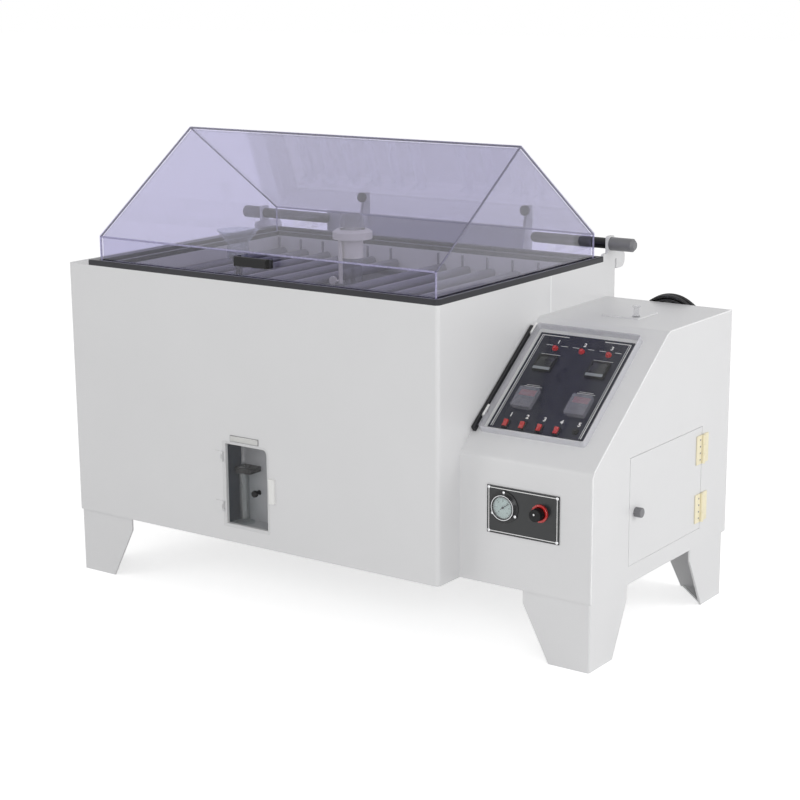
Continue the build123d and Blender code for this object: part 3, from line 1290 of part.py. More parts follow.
def door_leaf(side, knuckles, hinge_z):
    """A leaf on one side of the axis: its knuckles and the plate that is screwed down."""
    near = DOOR_AXIS_Y + side * (DOOR_KNUCKLE + 0.5)
    far = DOOR_AXIS_Y + side * (DOOR_KNUCKLE + LEAF_WIDTH)
    for low, high in knuckles:
        door_knuckle(hinge_z + low, hinge_z + high, near, side < 0)
    leaf_x = DOOR_AXIS_X - DOOR_KNUCKLE
    with BuildSketch(Plane.YZ.offset(leaf_x)) as plate:
        area(
            (near, far),
            (hinge_z - DOOR_HINGE_LENGTH / 2, hinge_z + DOOR_HINGE_LENGTH / 2),
        )
    extrude(plate.sketch, amount=LEAF_THICK)


HALF_HINGE = DOOR_HINGE_LENGTH / 2
MIDDLE_KNUCKLE = 16.0
with BuildPart() as door_leaves:
    for hinge_z in DOOR_HINGE_ZS:
        door_leaf(-1, ((-MIDDLE_KNUCKLE, MIDDLE_KNUCKLE),), hinge_z)
finish(door_leaves, "door_leaves")

with BuildPart() as door_hinges:
    for hinge_z in DOOR_HINGE_ZS:
        door_leaf(
            1,
            (
                (-HALF_HINGE, -MIDDLE_KNUCKLE - LEAF_GAP),
                (MIDDLE_KNUCKLE + LEAF_GAP, HALF_HINGE),
            ),
            hinge_z,
        )
        rod(
            (DOOR_AXIS_X, DOOR_AXIS_Y, hinge_z - HALF_HINGE),
            (0, 0, 1),
            DOOR_PIN,
            DOOR_HINGE_LENGTH,
        )
finish(door_hinges, "door_hinges")

with BuildPart() as door_lock:
    rod((BOX_RIGHT - 14, LOCK_Y, LOCK_Z), (1, 0, 0), 8, 17)
    rod((BOX_RIGHT + SEAT_GAP, LOCK_Y, LOCK_Z), (1, 0, 0), 11, 16)
    fillet(door_lock.edges().filter_by(GeomType.CIRCLE).group_by(Axis.X)[-1], 2)
    block(
        (BOX_RIGHT - 17, BOX_RIGHT - 14),
        (LOCK_Y - 9, LOCK_Y + 9),
        (LOCK_Z - 9, LOCK_Z + 40),
    )
finish(door_lock, "door_lock")

# Hatch for filling the air saturator, with its pull knob
with BuildPart() as filler_hatch:
    block((HATCH_LEFT, HATCH_RIGHT), (HATCH_FRONT, HATCH_REAR), (BOX_TOP, BOX_TOP + 3))
    fillet(filler_hatch.edges().filter_by(Axis.Z), 5)
    block(
        (HATCH_LEFT + HATCH_LAP + 1, HATCH_RIGHT - HATCH_LAP - 1),
        (HATCH_FRONT + HATCH_LAP + 1, HATCH_REAR - HATCH_LAP - 1),
        (BOX_TOP - BOX_PLATE - 4, BOX_TOP),
    )
    block(
        (HATCH_LEFT + HATCH_LAP + 3, HATCH_RIGHT - HATCH_LAP - 3),
        (HATCH_FRONT + HATCH_LAP + 3, HATCH_REAR - HATCH_LAP - 3),
        (BOX_TOP - BOX_PLATE - 5, BOX_TOP),
        mode=Mode.SUBTRACT,
    )
finish(filler_hatch, "filler_hatch")

PULL_X = HATCH_LEFT + 81
PULL_Y = HATCH_FRONT + 16
with BuildPart() as hatch_pull:
    with BuildSketch(Plane.XZ.offset(-PULL_Y)):
        base = BOX_TOP + 3
        outline(
            (PULL_X, base),
            (PULL_X + 9, base),
            (PULL_X + 9, base + 3),
            (PULL_X + 6, base + 6),
            (PULL_X + 6, base + 20),
            (PULL_X + 9, base + 23),
            (PULL_X + 9, base + 26),
            (PULL_X, base + 26),
        )
    revolve(axis=Axis((PULL_X, PULL_Y, 0), (0, 0, 1)))
finish(hatch_pull, "hatch_pull")

# Air saturator: a heated pressure barrel in the control box, on its three feet
SATURATOR_IN = 150.0
SATURATOR_BACK = 200.0
SATURATOR_X = BOX_LEFT + SATURATOR_IN
SATURATOR_Y = BOX_REAR - SATURATOR_BACK
SATURATOR_RADIUS = 90.0
SATURATOR_HEIGHT = 330.0
with BuildPart() as air_saturator:
    with BuildSketch(Plane.XZ.offset(-SATURATOR_Y)):
        low = UNDERSIDE + BOX_PLATE + 40
        high = low + SATURATOR_HEIGHT
        with BuildLine():
            Polyline((SATURATOR_X, high), (SATURATOR_X, low), (SATURATOR_X + 40, low))
            Line((SATURATOR_X + SATURATOR_RADIUS, low + 40), (SATURATOR_X + SATURATOR_RADIUS, high - 40))
            ThreePointArc(
                (SATURATOR_X + 40, low),
                (SATURATOR_X + 76, low + 13),
                (SATURATOR_X + SATURATOR_RADIUS, low + 40),
            )
            ThreePointArc(
                (SATURATOR_X + SATURATOR_RADIUS, high - 40),
                (SATURATOR_X + 65, high - 11),
                (SATURATOR_X, high),
            )
        make_face()
    revolve(axis=Axis((SATURATOR_X, SATURATOR_Y, 0), (0, 0, 1)))
    with Locations((SATURATOR_X, SATURATOR_Y, UNDERSIDE + BOX_PLATE)):
        with PolarLocations(62, 3, start_angle=90):
            Cylinder(8, 60, align=(Align.CENTER, Align.CENTER, Align.MIN))
    rod((SATURATOR_X, SATURATOR_Y, high - 5), (0, 0, 1), 18, 25)
finish(air_saturator, "air_saturator")

# Mains cord: gland, lead up the box's back, coil on the hook, and the plug
LEAD_LENGTH = 22.0
with BuildPart() as cord_gland:
    rod((GLAND_X, BOX_REAR - BOX_PLATE, GLAND_Z), (0, 1, 0), GLAND_RADIUS, BOX_PLATE)
    with BuildSketch(Plane.XZ.offset(-BOX_REAR)):
        with Locations((GLAND_X, GLAND_Z)):
            RegularPolygon(14, 6)
    extrude(amount=-8)
    with Locations(Plane(origin=(GLAND_X, BOX_REAR + 8, GLAND_Z), z_dir=(0, 1, 0))):
        Cone(10, 6, 16, align=(Align.CENTER, Align.CENTER, Align.MIN))
    rod((GLAND_X, BOX_REAR - 9, GLAND_Z), (0, 1, 0), CORD_RADIUS + RUNNING_GAP, 60, mode=Mode.SUBTRACT)
finish(cord_gland, "cord_gland")

COIL_Y = BOX_REAR + 2
COIL_MIDDLE_Y = COIL_Y + COIL_DEPTH / 2
TURN_RADIUS = COIL_RADIUS - CORD_RADIUS


def coil_approach(back):
    """A point on the straight that runs into the coil's outer turn at its lower left, back before they meet."""
    join = math.radians(JOIN_ANGLE)
    return (
        COIL_X - TURN_RADIUS * math.cos(join) + back * math.sin(join),
        COIL_Y + CORD_RADIUS + SEAT_GAP,
        COIL_Z - TURN_RADIUS * math.sin(join) - back * math.cos(join),
    )


CORD_POINTS = (
    (GLAND_X, BOX_REAR, GLAND_Z),
    (GLAND_X, BOX_REAR + 58, GLAND_Z),
    (GLAND_X + 4, BOX_REAR + 60, GLAND_Z + 62),
    (GLAND_X + 10, BOX_REAR + 34, GLAND_Z + 122),
    coil_approach(JOIN_GAP + 55),
    coil_approach(JOIN_GAP),
)


def cord_radii(points):
    """The largest arc that each corner of a cord's route allows."""
    radii = []
    for before, corner, after in zip(points, points[1:], points[2:]):
        first = Vector(*corner) - Vector(*before)
        second = Vector(*after) - Vector(*corner)
        turn = first.get_angle(second)
        radii.append(0.45 * min(first.length, second.length) / math.tan(math.radians(turn / 2)))
    return radii


arc_radii = cord_radii(CORD_POINTS)
print("cord arc radii", [round(radius, 1) for radius in arc_radii])
with BuildPart() as power_cord:
    with BuildLine() as cord_route:
        FilletPolyline(*CORD_POINTS, radius=arc_radii)
    with BuildSketch(Plane(origin=cord_route.line @ 0, z_dir=cord_route.line % 0)):
        Circle(CORD_RADIUS)
    sweep(path=cord_route.line)
cord_length = cord_route.wires()[0].length
cord_volume = math.pi * CORD_RADIUS**2 * cord_length
print("cord length", round(cord_length, 1))
print("tube volume over section and length", round(power_cord.part.volume / cord_volume, 4))
finish(power_cord, "power_cord")

with BuildPart() as cord_coil:
    with BuildSketch(Plane.XY.offset(COIL_Z)) as coil_section:
        area(
            (COIL_X + COIL_RADIUS - COIL_BAND, COIL_X + COIL_RADIUS),
            (COIL_Y, COIL_Y + COIL_DEPTH),
        )
        fillet(coil_section.vertices(), 6)
    revolve(axis=Axis((COIL_X, 0, COIL_Z), (0, 1, 0)))
finish(cord_coil, "cord_coil")

PLUG_LENGTH = 42.0
PLUG_TOP = COIL_Z + 12
PLUG_X = COIL_X + COIL_RADIUS + 14 + SEAT_GAP
with BuildPart() as power_plug:
    block(
        (PLUG_X - 14, PLUG_X + 14),
        (COIL_MIDDLE_Y - 11.5, COIL_MIDDLE_Y + 11.5),
        (PLUG_TOP - PLUG_LENGTH, PLUG_TOP),
    )
    fillet(power_plug.edges().filter_by(Axis.Z), 8)
    for pin_x in (PLUG_X - 9.5, PLUG_X + 9.5):
        rod((pin_x, COIL_MIDDLE_Y, PLUG_TOP - PLUG_LENGTH), (0, 0, -1), 2.4, 19)
finish(power_plug, "power_plug")

# Put the origin on the floor under the middle of everything but the cord, and write the pieces
CORD_NAMES = ("power_cord", "cord_coil", "power_plug")
boxes = [piece.bounding_box() for piece in pieces if piece.label not in CORD_NAMES]
MIDDLE_X = (min(box.min.X for box in boxes) + max(box.max.X for box in boxes)) / 2
MIDDLE_Y = (min(box.min.Y for box in boxes) + max(box.max.Y for box in boxes)) / 2
print("middle", round(MIDDLE_X, 3), round(MIDDLE_Y, 3), "nodes", len(pieces))
for piece in pieces:
    placed = piece.moved(Location((-MIDDLE_X, -MIDDLE_Y, 0)))
    placed.label = piece.label
    export_step(placed, f"parts/{piece.label}.step")
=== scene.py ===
import math

import bmesh
import bpy
from mathutils import Matrix, Vector


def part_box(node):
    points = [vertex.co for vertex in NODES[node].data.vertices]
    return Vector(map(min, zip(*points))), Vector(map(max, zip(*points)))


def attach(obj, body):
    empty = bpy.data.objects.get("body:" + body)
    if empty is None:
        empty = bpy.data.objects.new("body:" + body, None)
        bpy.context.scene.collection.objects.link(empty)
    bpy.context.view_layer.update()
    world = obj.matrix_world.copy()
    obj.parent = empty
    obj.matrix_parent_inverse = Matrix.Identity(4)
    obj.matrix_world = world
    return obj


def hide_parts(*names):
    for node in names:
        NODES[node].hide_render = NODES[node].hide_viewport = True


bl_info = {
    "name": "Salt fog chamber",
    "version": (1, 0, 0),
    "blender": (4, 5, 0),
    "location": "View3D > Sidebar > Chamber",
    "description": "Dresses a salt fog test chamber with its finishes, trim and small pieces",
    "category": "Object",
}

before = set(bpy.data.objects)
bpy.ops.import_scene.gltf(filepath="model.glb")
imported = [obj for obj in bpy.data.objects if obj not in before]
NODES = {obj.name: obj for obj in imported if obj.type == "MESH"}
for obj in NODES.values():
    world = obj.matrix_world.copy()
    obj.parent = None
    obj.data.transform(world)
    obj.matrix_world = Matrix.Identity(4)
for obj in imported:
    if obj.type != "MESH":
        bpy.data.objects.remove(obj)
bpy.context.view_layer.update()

# Sizes in metres and angles in degrees

# The box: its slope, its depth, and how far the hatch stands above its top
SLOPE_RISE = 0.247
SLOPE_REACH = 0.325
BOX_DEPTH = 0.6355
HATCH_STAND = 0.003
# The cabinet's seam, behind its front
SEAM_BACK = 0.459

# Heights of the lid's eaves and lower edge, of the collar on the tower's cap and of the tank's floor
LID_EAVE = 0.840
LID_EDGE = 0.756
CAP_COLLAR_TOP = 0.851
TANK_LOW = 0.60
HANDLE_BRACKET = 0.014

# The control panel, from its lower left corner: across, and up the slope
PANEL_WIDTH = 0.236
PANEL_LENGTH = 0.281
PANEL_THICKNESS = 0.002
PANEL_EDGE = 0.006
SWITCH_XS = (0.041, 0.082, 0.125, 0.167, 0.210)
LAMP_XS = (0.056, 0.123, 0.190)
CONTROLLER_XS = (0.053, 0.185)
CONTROLLER_Y = 0.191
TIMER_XS = (0.056, 0.189)
TIMER_Y = 0.086
INK_RISE = 0.0003

# The gauge, from its plate's lower left corner
GAUGE_X = 0.043
GAUGE_Z = 0.061
FLANGE_RADIUS = 0.0355
FLANGE_SCREWS = 0.0325
BEZEL_RADIUS = 0.0262
BEZEL_WALL = 0.0014
GLASS_RADIUS = 0.0242
DIAL_RADIUS = 0.0238
MARK_RADIUS = 0.0215
NUMBER_RADIUS = 0.0148
PLATE_SCREW_IN = 0.0045

# The access door's hinges, and the strip in its gap
HINGE_HEIGHT = 0.0675
HINGE_REACH = 0.0285
HINGE_THICKNESS = 0.003
HINGE_END = 0.0485
KNUCKLE_RADIUS = 0.0043
RUNNING_GAP = 0.0003
DOOR_SCREW_PITCH = 0.0155
GAP_NEAR = 0.0006
GAP_FAR = 0.0014

# The cord, and its coil's centre, rows and first turn
CORD_RADIUS = 0.0045
COIL_X = 0.56085
COIL_Z = 0.617
COIL_RADIUS = 0.0849
COIL_SHRINK = 0.0186
COIL_NEAR = 0.32645
COIL_FAR = 0.33625

# The photograph's camera
CAMERA_PLACE = (2.52405, -3.53255, 1.4578)
CAMERA_YAW = 35.39
CAMERA_PITCH = 13.2
CAMERA_ROLL = -0.4
CAMERA_LENS = 83.39
SENSOR_WIDTH = 36.0

# The stage: its lamps' names, places, aims, watts and widths
LAMPS = (
    ("key light", (3.4, -3.8, 1.9), (0.1, 0.0, 0.5), 62, 2.4),
    ("fill light", (-2.6, -3.9, 2.0), (0.0, 0.0, 0.5), 26, 2.4),
    ("side light", (3.7, 0.9, 1.7), (0.4, 0.0, 0.6), 34, 2.0),
)
FLOOR_REACH = 30
FLOOR_LIFT = 0.58
SKY_LIGHT = 0.52

CAD_SMOOTH = math.radians(30)
PIECE_SMOOTH = math.radians(40)


def linear(code):
    """A six-digit sRGB hex value as linear RGBA."""
    parts = [int(code[i : i + 2], 16) / 255 for i in (1, 3, 5)]
    return tuple(c / 12.92 if c <= 0.04045 else ((c + 0.055) / 1.055) ** 2.4 for c in parts) + (1.0,)


class ChamberColours(bpy.types.PropertyGroup):
    """Colours of the main finishes, as sRGB hex values."""

    body: bpy.props.StringProperty(
        name="Body", description="Welded sheet of the cabinet", default="#DEDEDF"
    )
    lid: bpy.props.StringProperty(
        name="Lid", description="Clear sheet of the lid", default="#EBEAF4"
    )
    seal: bpy.props.StringProperty(
        name="Seal", description="Rim and channel of the water seal", default="#2C2C31"
    )
    panel: bpy.props.StringProperty(
        name="Panel", description="Printed control panel", default="#15172B"
    )
    red: bpy.props.StringProperty(
        name="Red", description="Lamps, rockers and ring", default="#C8201E"
    )


class ChamberSizes(bpy.types.PropertyGroup):
    """Sizes of the trim, in metres."""

    # Width of the lid's edge rods, which carry painted highlight and painted shade
    edge_band_width: bpy.props.FloatProperty(
        name="Bond width", description="Glued edge of the lid", default=0.0045, unit="LENGTH"
    )
    border_width: bpy.props.FloatProperty(
        name="Border width", description="White line round the panels", default=0.0016, unit="LENGTH"
    )
    screw_radius: bpy.props.FloatProperty(
        name="Screw radius", description="Head of a hinge screw", default=0.0022, unit="LENGTH"
    )
    # Radius of the seam's bead and of the box's painted edge highlights
    bead_and_highlight_radius: bpy.props.FloatProperty(
        name="Weld radius", description="Bead of a welded seam", default=0.0022, unit="LENGTH"
    )


def colours():
    return bpy.context.scene.chamber_colours


def sizes():
    return bpy.context.scene.chamber_sizes


# Materials


def add_node(tree, kind, settings=None, links=None):
    """Add a shader node, set its sockets or properties, and link its inputs."""
    made = tree.nodes.new(kind)
    for name, value in (settings or {}).items():
        if isinstance(name, int) or name in made.inputs:
            made.inputs[name].default_value = value
        else:
            setattr(made, name, value)
    for name, source in (links or {}).items():
        tree.links.new(source, made.inputs[name])
    return made


def new_material(name):
    """An empty material, its node tree and the object's own coordinates in it."""
    made = bpy.data.materials.new(name)
    made.use_nodes = True
    tree = made.node_tree
    tree.nodes.clear()
    place = add_node(tree, "ShaderNodeTexCoord")
    return made, tree, {"Vector": place.outputs["Object"]}


def surface(name, code, rough, grain, bump, mottle, **settings):
    """A material with a grain of its own size in metres: it varies the colour, the gloss and the height."""
    made, tree, place = new_material(name)
    fine = add_node(tree, "ShaderNodeTexNoise", {"Scale": 1 / grain, "Detail": 4.0}, place)
    broad = add_node(tree, "ShaderNodeTexNoise", {"Scale": 5.0, "Detail": 3.0}, place)
    base = linear(code)
    mix = add_node(tree, "ShaderNodeMix", {"data_type": "RGBA"}, {"Factor": broad.outputs["Fac"]})
    # Sockets 6 and 7 are the two colours
    mix.inputs[6].default_value = tuple(c * (1 - 2.5 * mottle) for c in base[:3]) + (1.0,)
    mix.inputs[7].default_value = tuple(min(1, c * (1 + 1.2 * mottle)) for c in base[:3]) + (1.0,)
    gloss = add_node(
        tree,
        "ShaderNodeMapRange",
        {"To Min": max(0.02, rough * 0.85), "To Max": min(1.0, rough * 1.15)},
        {"Value": fine.outputs["Fac"]},
    )
    height = add_node(
        tree, "ShaderNodeBump", {"Strength": bump, "Distance": grain * 0.3}, {"Height": fine.outputs["Fac"]}
    )
    shader = add_node(
        tree,
        "ShaderNodeBsdfPrincipled",
        settings,
        {
            "Base Color": mix.outputs[2],
            "Roughness": gloss.outputs["Result"],
            "Normal": height.outputs["Normal"],
        },
    )
    add_node(tree, "ShaderNodeOutputMaterial", None, {"Surface": shader.outputs["BSDF"]})
    return made


def body_sheet():
    # Pressed rigid sheet, satin, with a very fine orange peel
    return surface("rigid PVC, pressed sheet", colours().body, 0.36, 0.0015, 0.04, 0.012, IOR=1.53)


def seal_sheet():
    # The same sheet in dark grey, handled and wetted, so a little shinier
    return surface(
        "dark grey PVC, welded sheet", colours().seal, 0.40, 0.002, 0.06, 0.08, IOR=1.53,
        **{"Specular IOR Level": 0.3},
    )


def tank_sheet():
    # White polypropylene, waxy and slightly cloudy
    return surface("white polypropylene, welded sheet", "#D9D8D4", 0.42, 0.003, 0.05, 0.03, IOR=1.49)


def bar_tube():
    # Extruded tube, unevenly dulled by salt
    return surface("grey PVC, extruded tube", "#7C7A82", 0.32, 0.004, 0.06, 0.12, IOR=1.53)


def clear(
    name, tint, rough, haze, film="#E8E8EC", grain=0.02, gleam=0.035, curve=5.0, uneven=0.4
):
    """A clear sheet: each face lets its tint through, mirrors more at a glance, and has a dusty haze."""
    made, tree, place = new_material(name)
    dust = add_node(tree, "ShaderNodeTexNoise", {"Scale": 1 / grain, "Detail": 5.0}, place)
    share = add_node(
        tree,
        "ShaderNodeMapRange",
        {"From Min": 0.3, "From Max": 0.7, "To Min": haze * (1 - uneven), "To Max": haze * (1 + uneven)},
        {"Value": dust.outputs["Fac"]},
    )
    facing = add_node(tree, "ShaderNodeLayerWeight", {"Blend": 0.5})
    glance = add_node(
        tree, "ShaderNodeMath", {"operation": "POWER", 1: curve}, {0: facing.outputs["Facing"]}
    )
    mirror = add_node(
        tree,
        "ShaderNodeMath",
        {"operation": "MULTIPLY_ADD", 1: 23 * gleam, 2: gleam},
        {0: glance.outputs[0]},
    )
    through = add_node(tree, "ShaderNodeBsdfTransparent", {"Color": linear(tint)})
    dusty = add_node(tree, "ShaderNodeBsdfDiffuse", {"Color": linear(film)})
    body = add_node(
        tree,
        "ShaderNodeMixShader",
        None,
        {0: share.outputs["Result"], 1: through.outputs["BSDF"], 2: dusty.outputs["BSDF"]},
    )
    gloss = add_node(
        tree, "ShaderNodeBsdfAnisotropic", {"Color": linear("#FFFFFF"), "Roughness": rough}
    )
    whole = add_node(
        tree,
        "ShaderNodeMixShader",
        None,
        {0: mirror.outputs[0], 1: body.outputs["Shader"], 2: gloss.outputs["BSDF"]},
    )
    add_node(tree, "ShaderNodeOutputMaterial", None, {"Surface": whole.outputs["Shader"]})
    return made


def lid_sheet():
    # Cast acrylic with a violet tint, 6 mm: smooth, with a little salt dust
    return clear("tinted acrylic, cast sheet", colours().lid, 0.04, 0.012, "#D8D8E8", gleam=0.036, curve=3.2)


def clear_sheet():
    # Clear acrylic, 3 mm, polished
    return clear("clear acrylic, cast sheet", "#FCFCFC", 0.06, 0.012, "#F0F0F0", gleam=0.010)


def clear_wall_painted_light():
    # The same sheet at its walls and edges, made milky and pale as painted light
    return clear("clear acrylic walls, painted light", "#EAEAEE", 0.12, 0.50, "#E6E6EA", uneven=0.05)


def clear_moulding():
    # Injection moulded clear plastic, milkier than sheet
    return clear("clear polycarbonate, moulded", "#F4F4F5", 0.12, 0.09, "#ECECEE", 0.01, 0.02)


def frosted_moulding():
    # The timers' covers: clear plastic that years of handling have made milky
    return clear("clear polycarbonate, frosted", "#E6E6EE", 0.20, 0.20, "#CCCBD8", 0.004, 0.02, uneven=0.1)


def lab_glass():
    # Drawn borosilicate tube, clean
    return clear("borosilicate glass, drawn", "#F0F4F4", 0.02, 0.05, gleam=0.03)


def funnel_glass():
    # Funnel, wetted and speckled with salt
    return clear("borosilicate glass, salted", "#F2F4F6", 0.06, 0.08, "#F2F2F4", 0.003)


def cap_polymer():
    # Natural polypropylene, translucent and creamy
    return surface("natural polypropylene, turned", "#EDE9DC", 0.40, 0.002, 0.05, 0.03, IOR=1.49)


def white_polymer():
    # Moulded white hinges and catch, smooth and slightly glossy
    return surface("white acetal, moulded", "#ECECEA", 0.34, 0.001, 0.03, 0.02, IOR=1.48)


def black_polymer():
    # Moulded black ABS with a spark texture, which keeps it matt
    return surface(
        "black ABS, moulded", "#0B0B0D", 0.42, 0.0008, 0.10, 0.10, IOR=1.53,
        **{"Specular IOR Level": 0.25},
    )


def shaft_tube():
    # Turned black PVC bar, satin, with fine tool lines
    return surface(
        "black PVC, turned bar", "#151419", 0.40, 0.0012, 0.06, 0.10, IOR=1.53,
        **{"Specular IOR Level": 0.3},
    )


def knob_polymer():
    # Turned grey knobs, with fine tool marks
    return surface("grey PVC, turned", "#77777A", 0.40, 0.001, 0.08, 0.08, IOR=1.53)


def ivory_polymer():
    # Moulded ivory hinge, matt, slightly yellowed
    return surface("ivory ABS, moulded", "#F0E7C8", 0.44, 0.001, 0.06, 0.03, IOR=1.53)


def red_polymer():
    # Glossy red moulding, lets a little light in
    return surface(
        "red polycarbonate, moulded", colours().red, 0.16, 0.001, 0.02, 0.05,
        IOR=1.58, **{"Subsurface Weight": 0.15, "Coat Weight": 0.3},
    )


def panel_print():
    # Screen print on acrylic: deep navy, smooth, with little shine
    return surface(
        "navy screen print, acrylic", colours().panel, 0.30, 0.004, 0.002, 0.05, IOR=1.49,
        **{"Specular IOR Level": 0.25},
    )


def gauge_plate_print():
    # Anodised plate: black, satin, with a clear top that catches the light
    return surface(
        "black anodised aluminium, engraved", "#141719", 0.30, 0.0006, 0.06, 0.10, IOR=1.5,
        **{"Coat Weight": 0.2},
    )


def white_ink():
    # Screen ink: flat white, with no shine
    return surface("white screen ink", "#F2F2F2", 0.45, 0.001, 0.02, 0.02, IOR=1.5)


def bumper_rubber():
    # Moulded rubber: dark, matt and a little rough
    return surface("black rubber, moulded", "#1C1C20", 0.62, 0.001, 0.15, 0.12, IOR=1.52)


def cord_sheath():
    # Extruded sheath: black, with a soft gleam along it
    return surface("black PVC sheath, extruded", "#0E0E0F", 0.34, 0.001, 0.06, 0.10, IOR=1.53)


def bright_steel():
    # Brushed stainless steel: a broad, soft mirror
    return surface("stainless steel, brushed", "#B9B9B7", 0.26, 0.0008, 0.10, 0.08, Metallic=1.0)


def chrome_plate():
    # Polished plate: a sharp, bright mirror
    return surface("chromed brass, polished", "#D9DADC", 0.10, 0.001, 0.02, 0.05, Metallic=1.0)


def gauge_enamel():
    # Baked enamel: deep black and smooth
    return surface("black enamel, baked", "#101113", 0.24, 0.001, 0.04, 0.10, IOR=1.5)


def dial_paint():
    # The dial's enamel: off-white, satin
    return surface("white dial enamel", "#E6EAE8", 0.40, 0.001, 0.02, 0.02, IOR=1.5)


def recess_painted_shade():
    # Grey behind the window, darker than the body: painted shade in the recess
    return surface("grey PVC, welded sheet", "#A9AAAE", 0.40, 0.002, 0.05, 0.06, IOR=1.53)


def recess_cheek_painted_shade():
    # Its left cheek is painted dark slate as the shade in the recess
    return surface(
        "slate PVC, painted shade", "#232B38", 0.50, 0.002, 0.05, 0.10, IOR=1.53,
        **{"Specular IOR Level": 0.25},
    )


def tank_floor_painted_shade():
    # Under the bars the floor is painted dark grey as painted shade
    return surface("grey polypropylene, painted shade", "#56565E", 0.30, 0.003, 0.05, 0.10, IOR=1.49)


def rim_top_painted_light():
    # The rim's flat top is painted paler than its walls: painted light on the upward faces
    return surface("dark grey PVC, painted lighter top", "#4B4B4F", 0.40, 0.002, 0.06, 0.08, IOR=1.53)


def edge_painted_highlight():
    # Painted highlight: a pale band on the lid's upright and eave edges
    return clear("acrylic edge, painted highlight", "#C9C6DE", 0.10, 0.55, "#DCD9EE", 0.004)


def edge_painted_shade():
    # Painted shade: a deep violet grey band on the lid's slant edges and ridge
    return clear("tinted acrylic edge, painted shade", "#9A96B4", 0.20, 0.50, "#7E7A96", 0.004)


def weld_and_edge_highlight():
    # On the seam a laid bead, smoother and whiter than the sheet beside it; on the box's edges the same
    # whiter rod is a painted highlight
    return surface("PVC weld bead and painted edge highlight", "#F2F2F3", 0.28, 0.002, 0.10, 0.02, IOR=1.53)


def key_polymer():
    # Silicone keys: grey and matt
    return surface("grey silicone keys, moulded", "#8F949A", 0.50, 0.001, 0.05, 0.05, IOR=1.43)


def display_window():
    # Dark smoked display, off
    return surface("smoked acrylic display", "#1E2024", 0.16, 0.004, 0.002, 0.05, IOR=1.49)


FINISHES = {
    body_sheet: (
        "cabinet_shell control_box_shell legs access_door filler_hatch hinge_ears"
        " stop_board rear_pipes window_hinges"
    ),
    seal_sheet: "rim_trough",
    tank_sheet: "tank bar_ledges",
    bar_tube: "specimen_bars",
    lid_sheet: "lid",
    clear_sheet: "window_door panel_cover lid_hinge_blocks",
    clear_moulding: "hatch_pull tower_column drip_line",
    frosted_moulding: "timer_covers",
    lab_glass: "measuring_cylinder spray_nozzle",
    funnel_glass: "fog_funnel",
    cap_polymer: "tower_cap",
    white_polymer: "cover_leaves cover_hinges window_catch",
    black_polymer: (
        "lid_handle cylinder_holder window_knob controllers timers switch_bezels panel_button"
        " regulator_knob power_plug"
    ),
    shaft_tube: "pivot_shafts",
    knob_polymer: "shaft_knobs cord_gland door_lock",
    ivory_polymer: "door_leaves door_hinges",
    red_polymer: "rocker_1 rocker_2 rocker_3 rocker_4 indicator_lamps regulator_body",
    panel_print: "control_panel",
    gauge_plate_print: "gauge_plate",
    bumper_rubber: "stop_bumpers",
    cord_sheath: "power_cord cord_coil",
    bright_steel: "tank_heater air_saturator air_inlet",
    gauge_enamel: "pressure_gauge gauge_needle",
    recess_painted_shade: "window_recess",
}
MATERIALS = {}


def material(maker):
    """The maker's material, made once."""
    if maker not in MATERIALS:
        MATERIALS[maker] = maker()
    return MATERIALS[maker]


def repaint(node, maker, chosen):
    """A second finish on the faces of a carried-over solid that chosen names."""
    node.data.materials.append(material(maker))
    last = len(node.data.materials) - 1
    for face in node.data.polygons:
        if chosen(face):
            face.material_index = last


# Mesh work


def block(mesh, low, high, bevel=0.0):
    """A block between two corners, with rounded edges where a bevel is given."""
    middle = (Vector(low) + Vector(high)) / 2
    size = [abs(b - a) for a, b in zip(low, high)]
    place = Matrix.Translation(middle) @ Matrix.Diagonal((*size, 1))
    made = bmesh.ops.create_cube(mesh, size=1.0, matrix=place)
    if bevel:
        # Each edge once, in the same order each run
        edges = list(dict.fromkeys(edge for vert in made["verts"] for edge in vert.link_edges))
        bmesh.ops.bevel(
            mesh, geom=edges, offset=bevel, segments=2, affect="EDGES", profile=0.5, material=-1
        )


def rod(mesh, start, end, radius, sides=24):
    """A round rod between two points."""
    start, end = Vector(start), Vector(end)
    along = end - start
    turn = along.to_track_quat("Z", "Y").to_matrix().to_4x4()
    bmesh.ops.create_cone(
        mesh,
        cap_ends=True,
        segments=sides,
        radius1=radius,
        radius2=radius,
        depth=along.length,
        matrix=Matrix.Translation((start + end) / 2) @ turn,
    )


def dome(mesh, centre, out, radius, height):
    """A low round head on a face: a half ball pressed flat, turned so that it faces out."""
    turn = Vector(out).to_track_quat("Z", "Y").to_matrix().to_4x4()
    place = Matrix.Translation(centre) @ turn @ Matrix.Diagonal((radius, radius, height, 1))
    bmesh.ops.create_uvsphere(mesh, u_segments=16, v_segments=8, radius=1.0, matrix=place)


def keep(mesh, name, maker, body):
    """Write a mesh to a named piece with its finish, riding on a body."""
    bmesh.ops.recalc_face_normals(mesh, faces=mesh.faces)
    data = bpy.data.meshes.new(name)
    mesh.to_mesh(data)
    mesh.free()
    data.shade_smooth()
    data.set_sharp_from_angle(angle=PIECE_SMOOTH)
    made = bpy.data.objects.new(name, data)
    bpy.context.scene.collection.objects.link(made)
    data.materials.append(material(maker))
    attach(made, body)
    return made


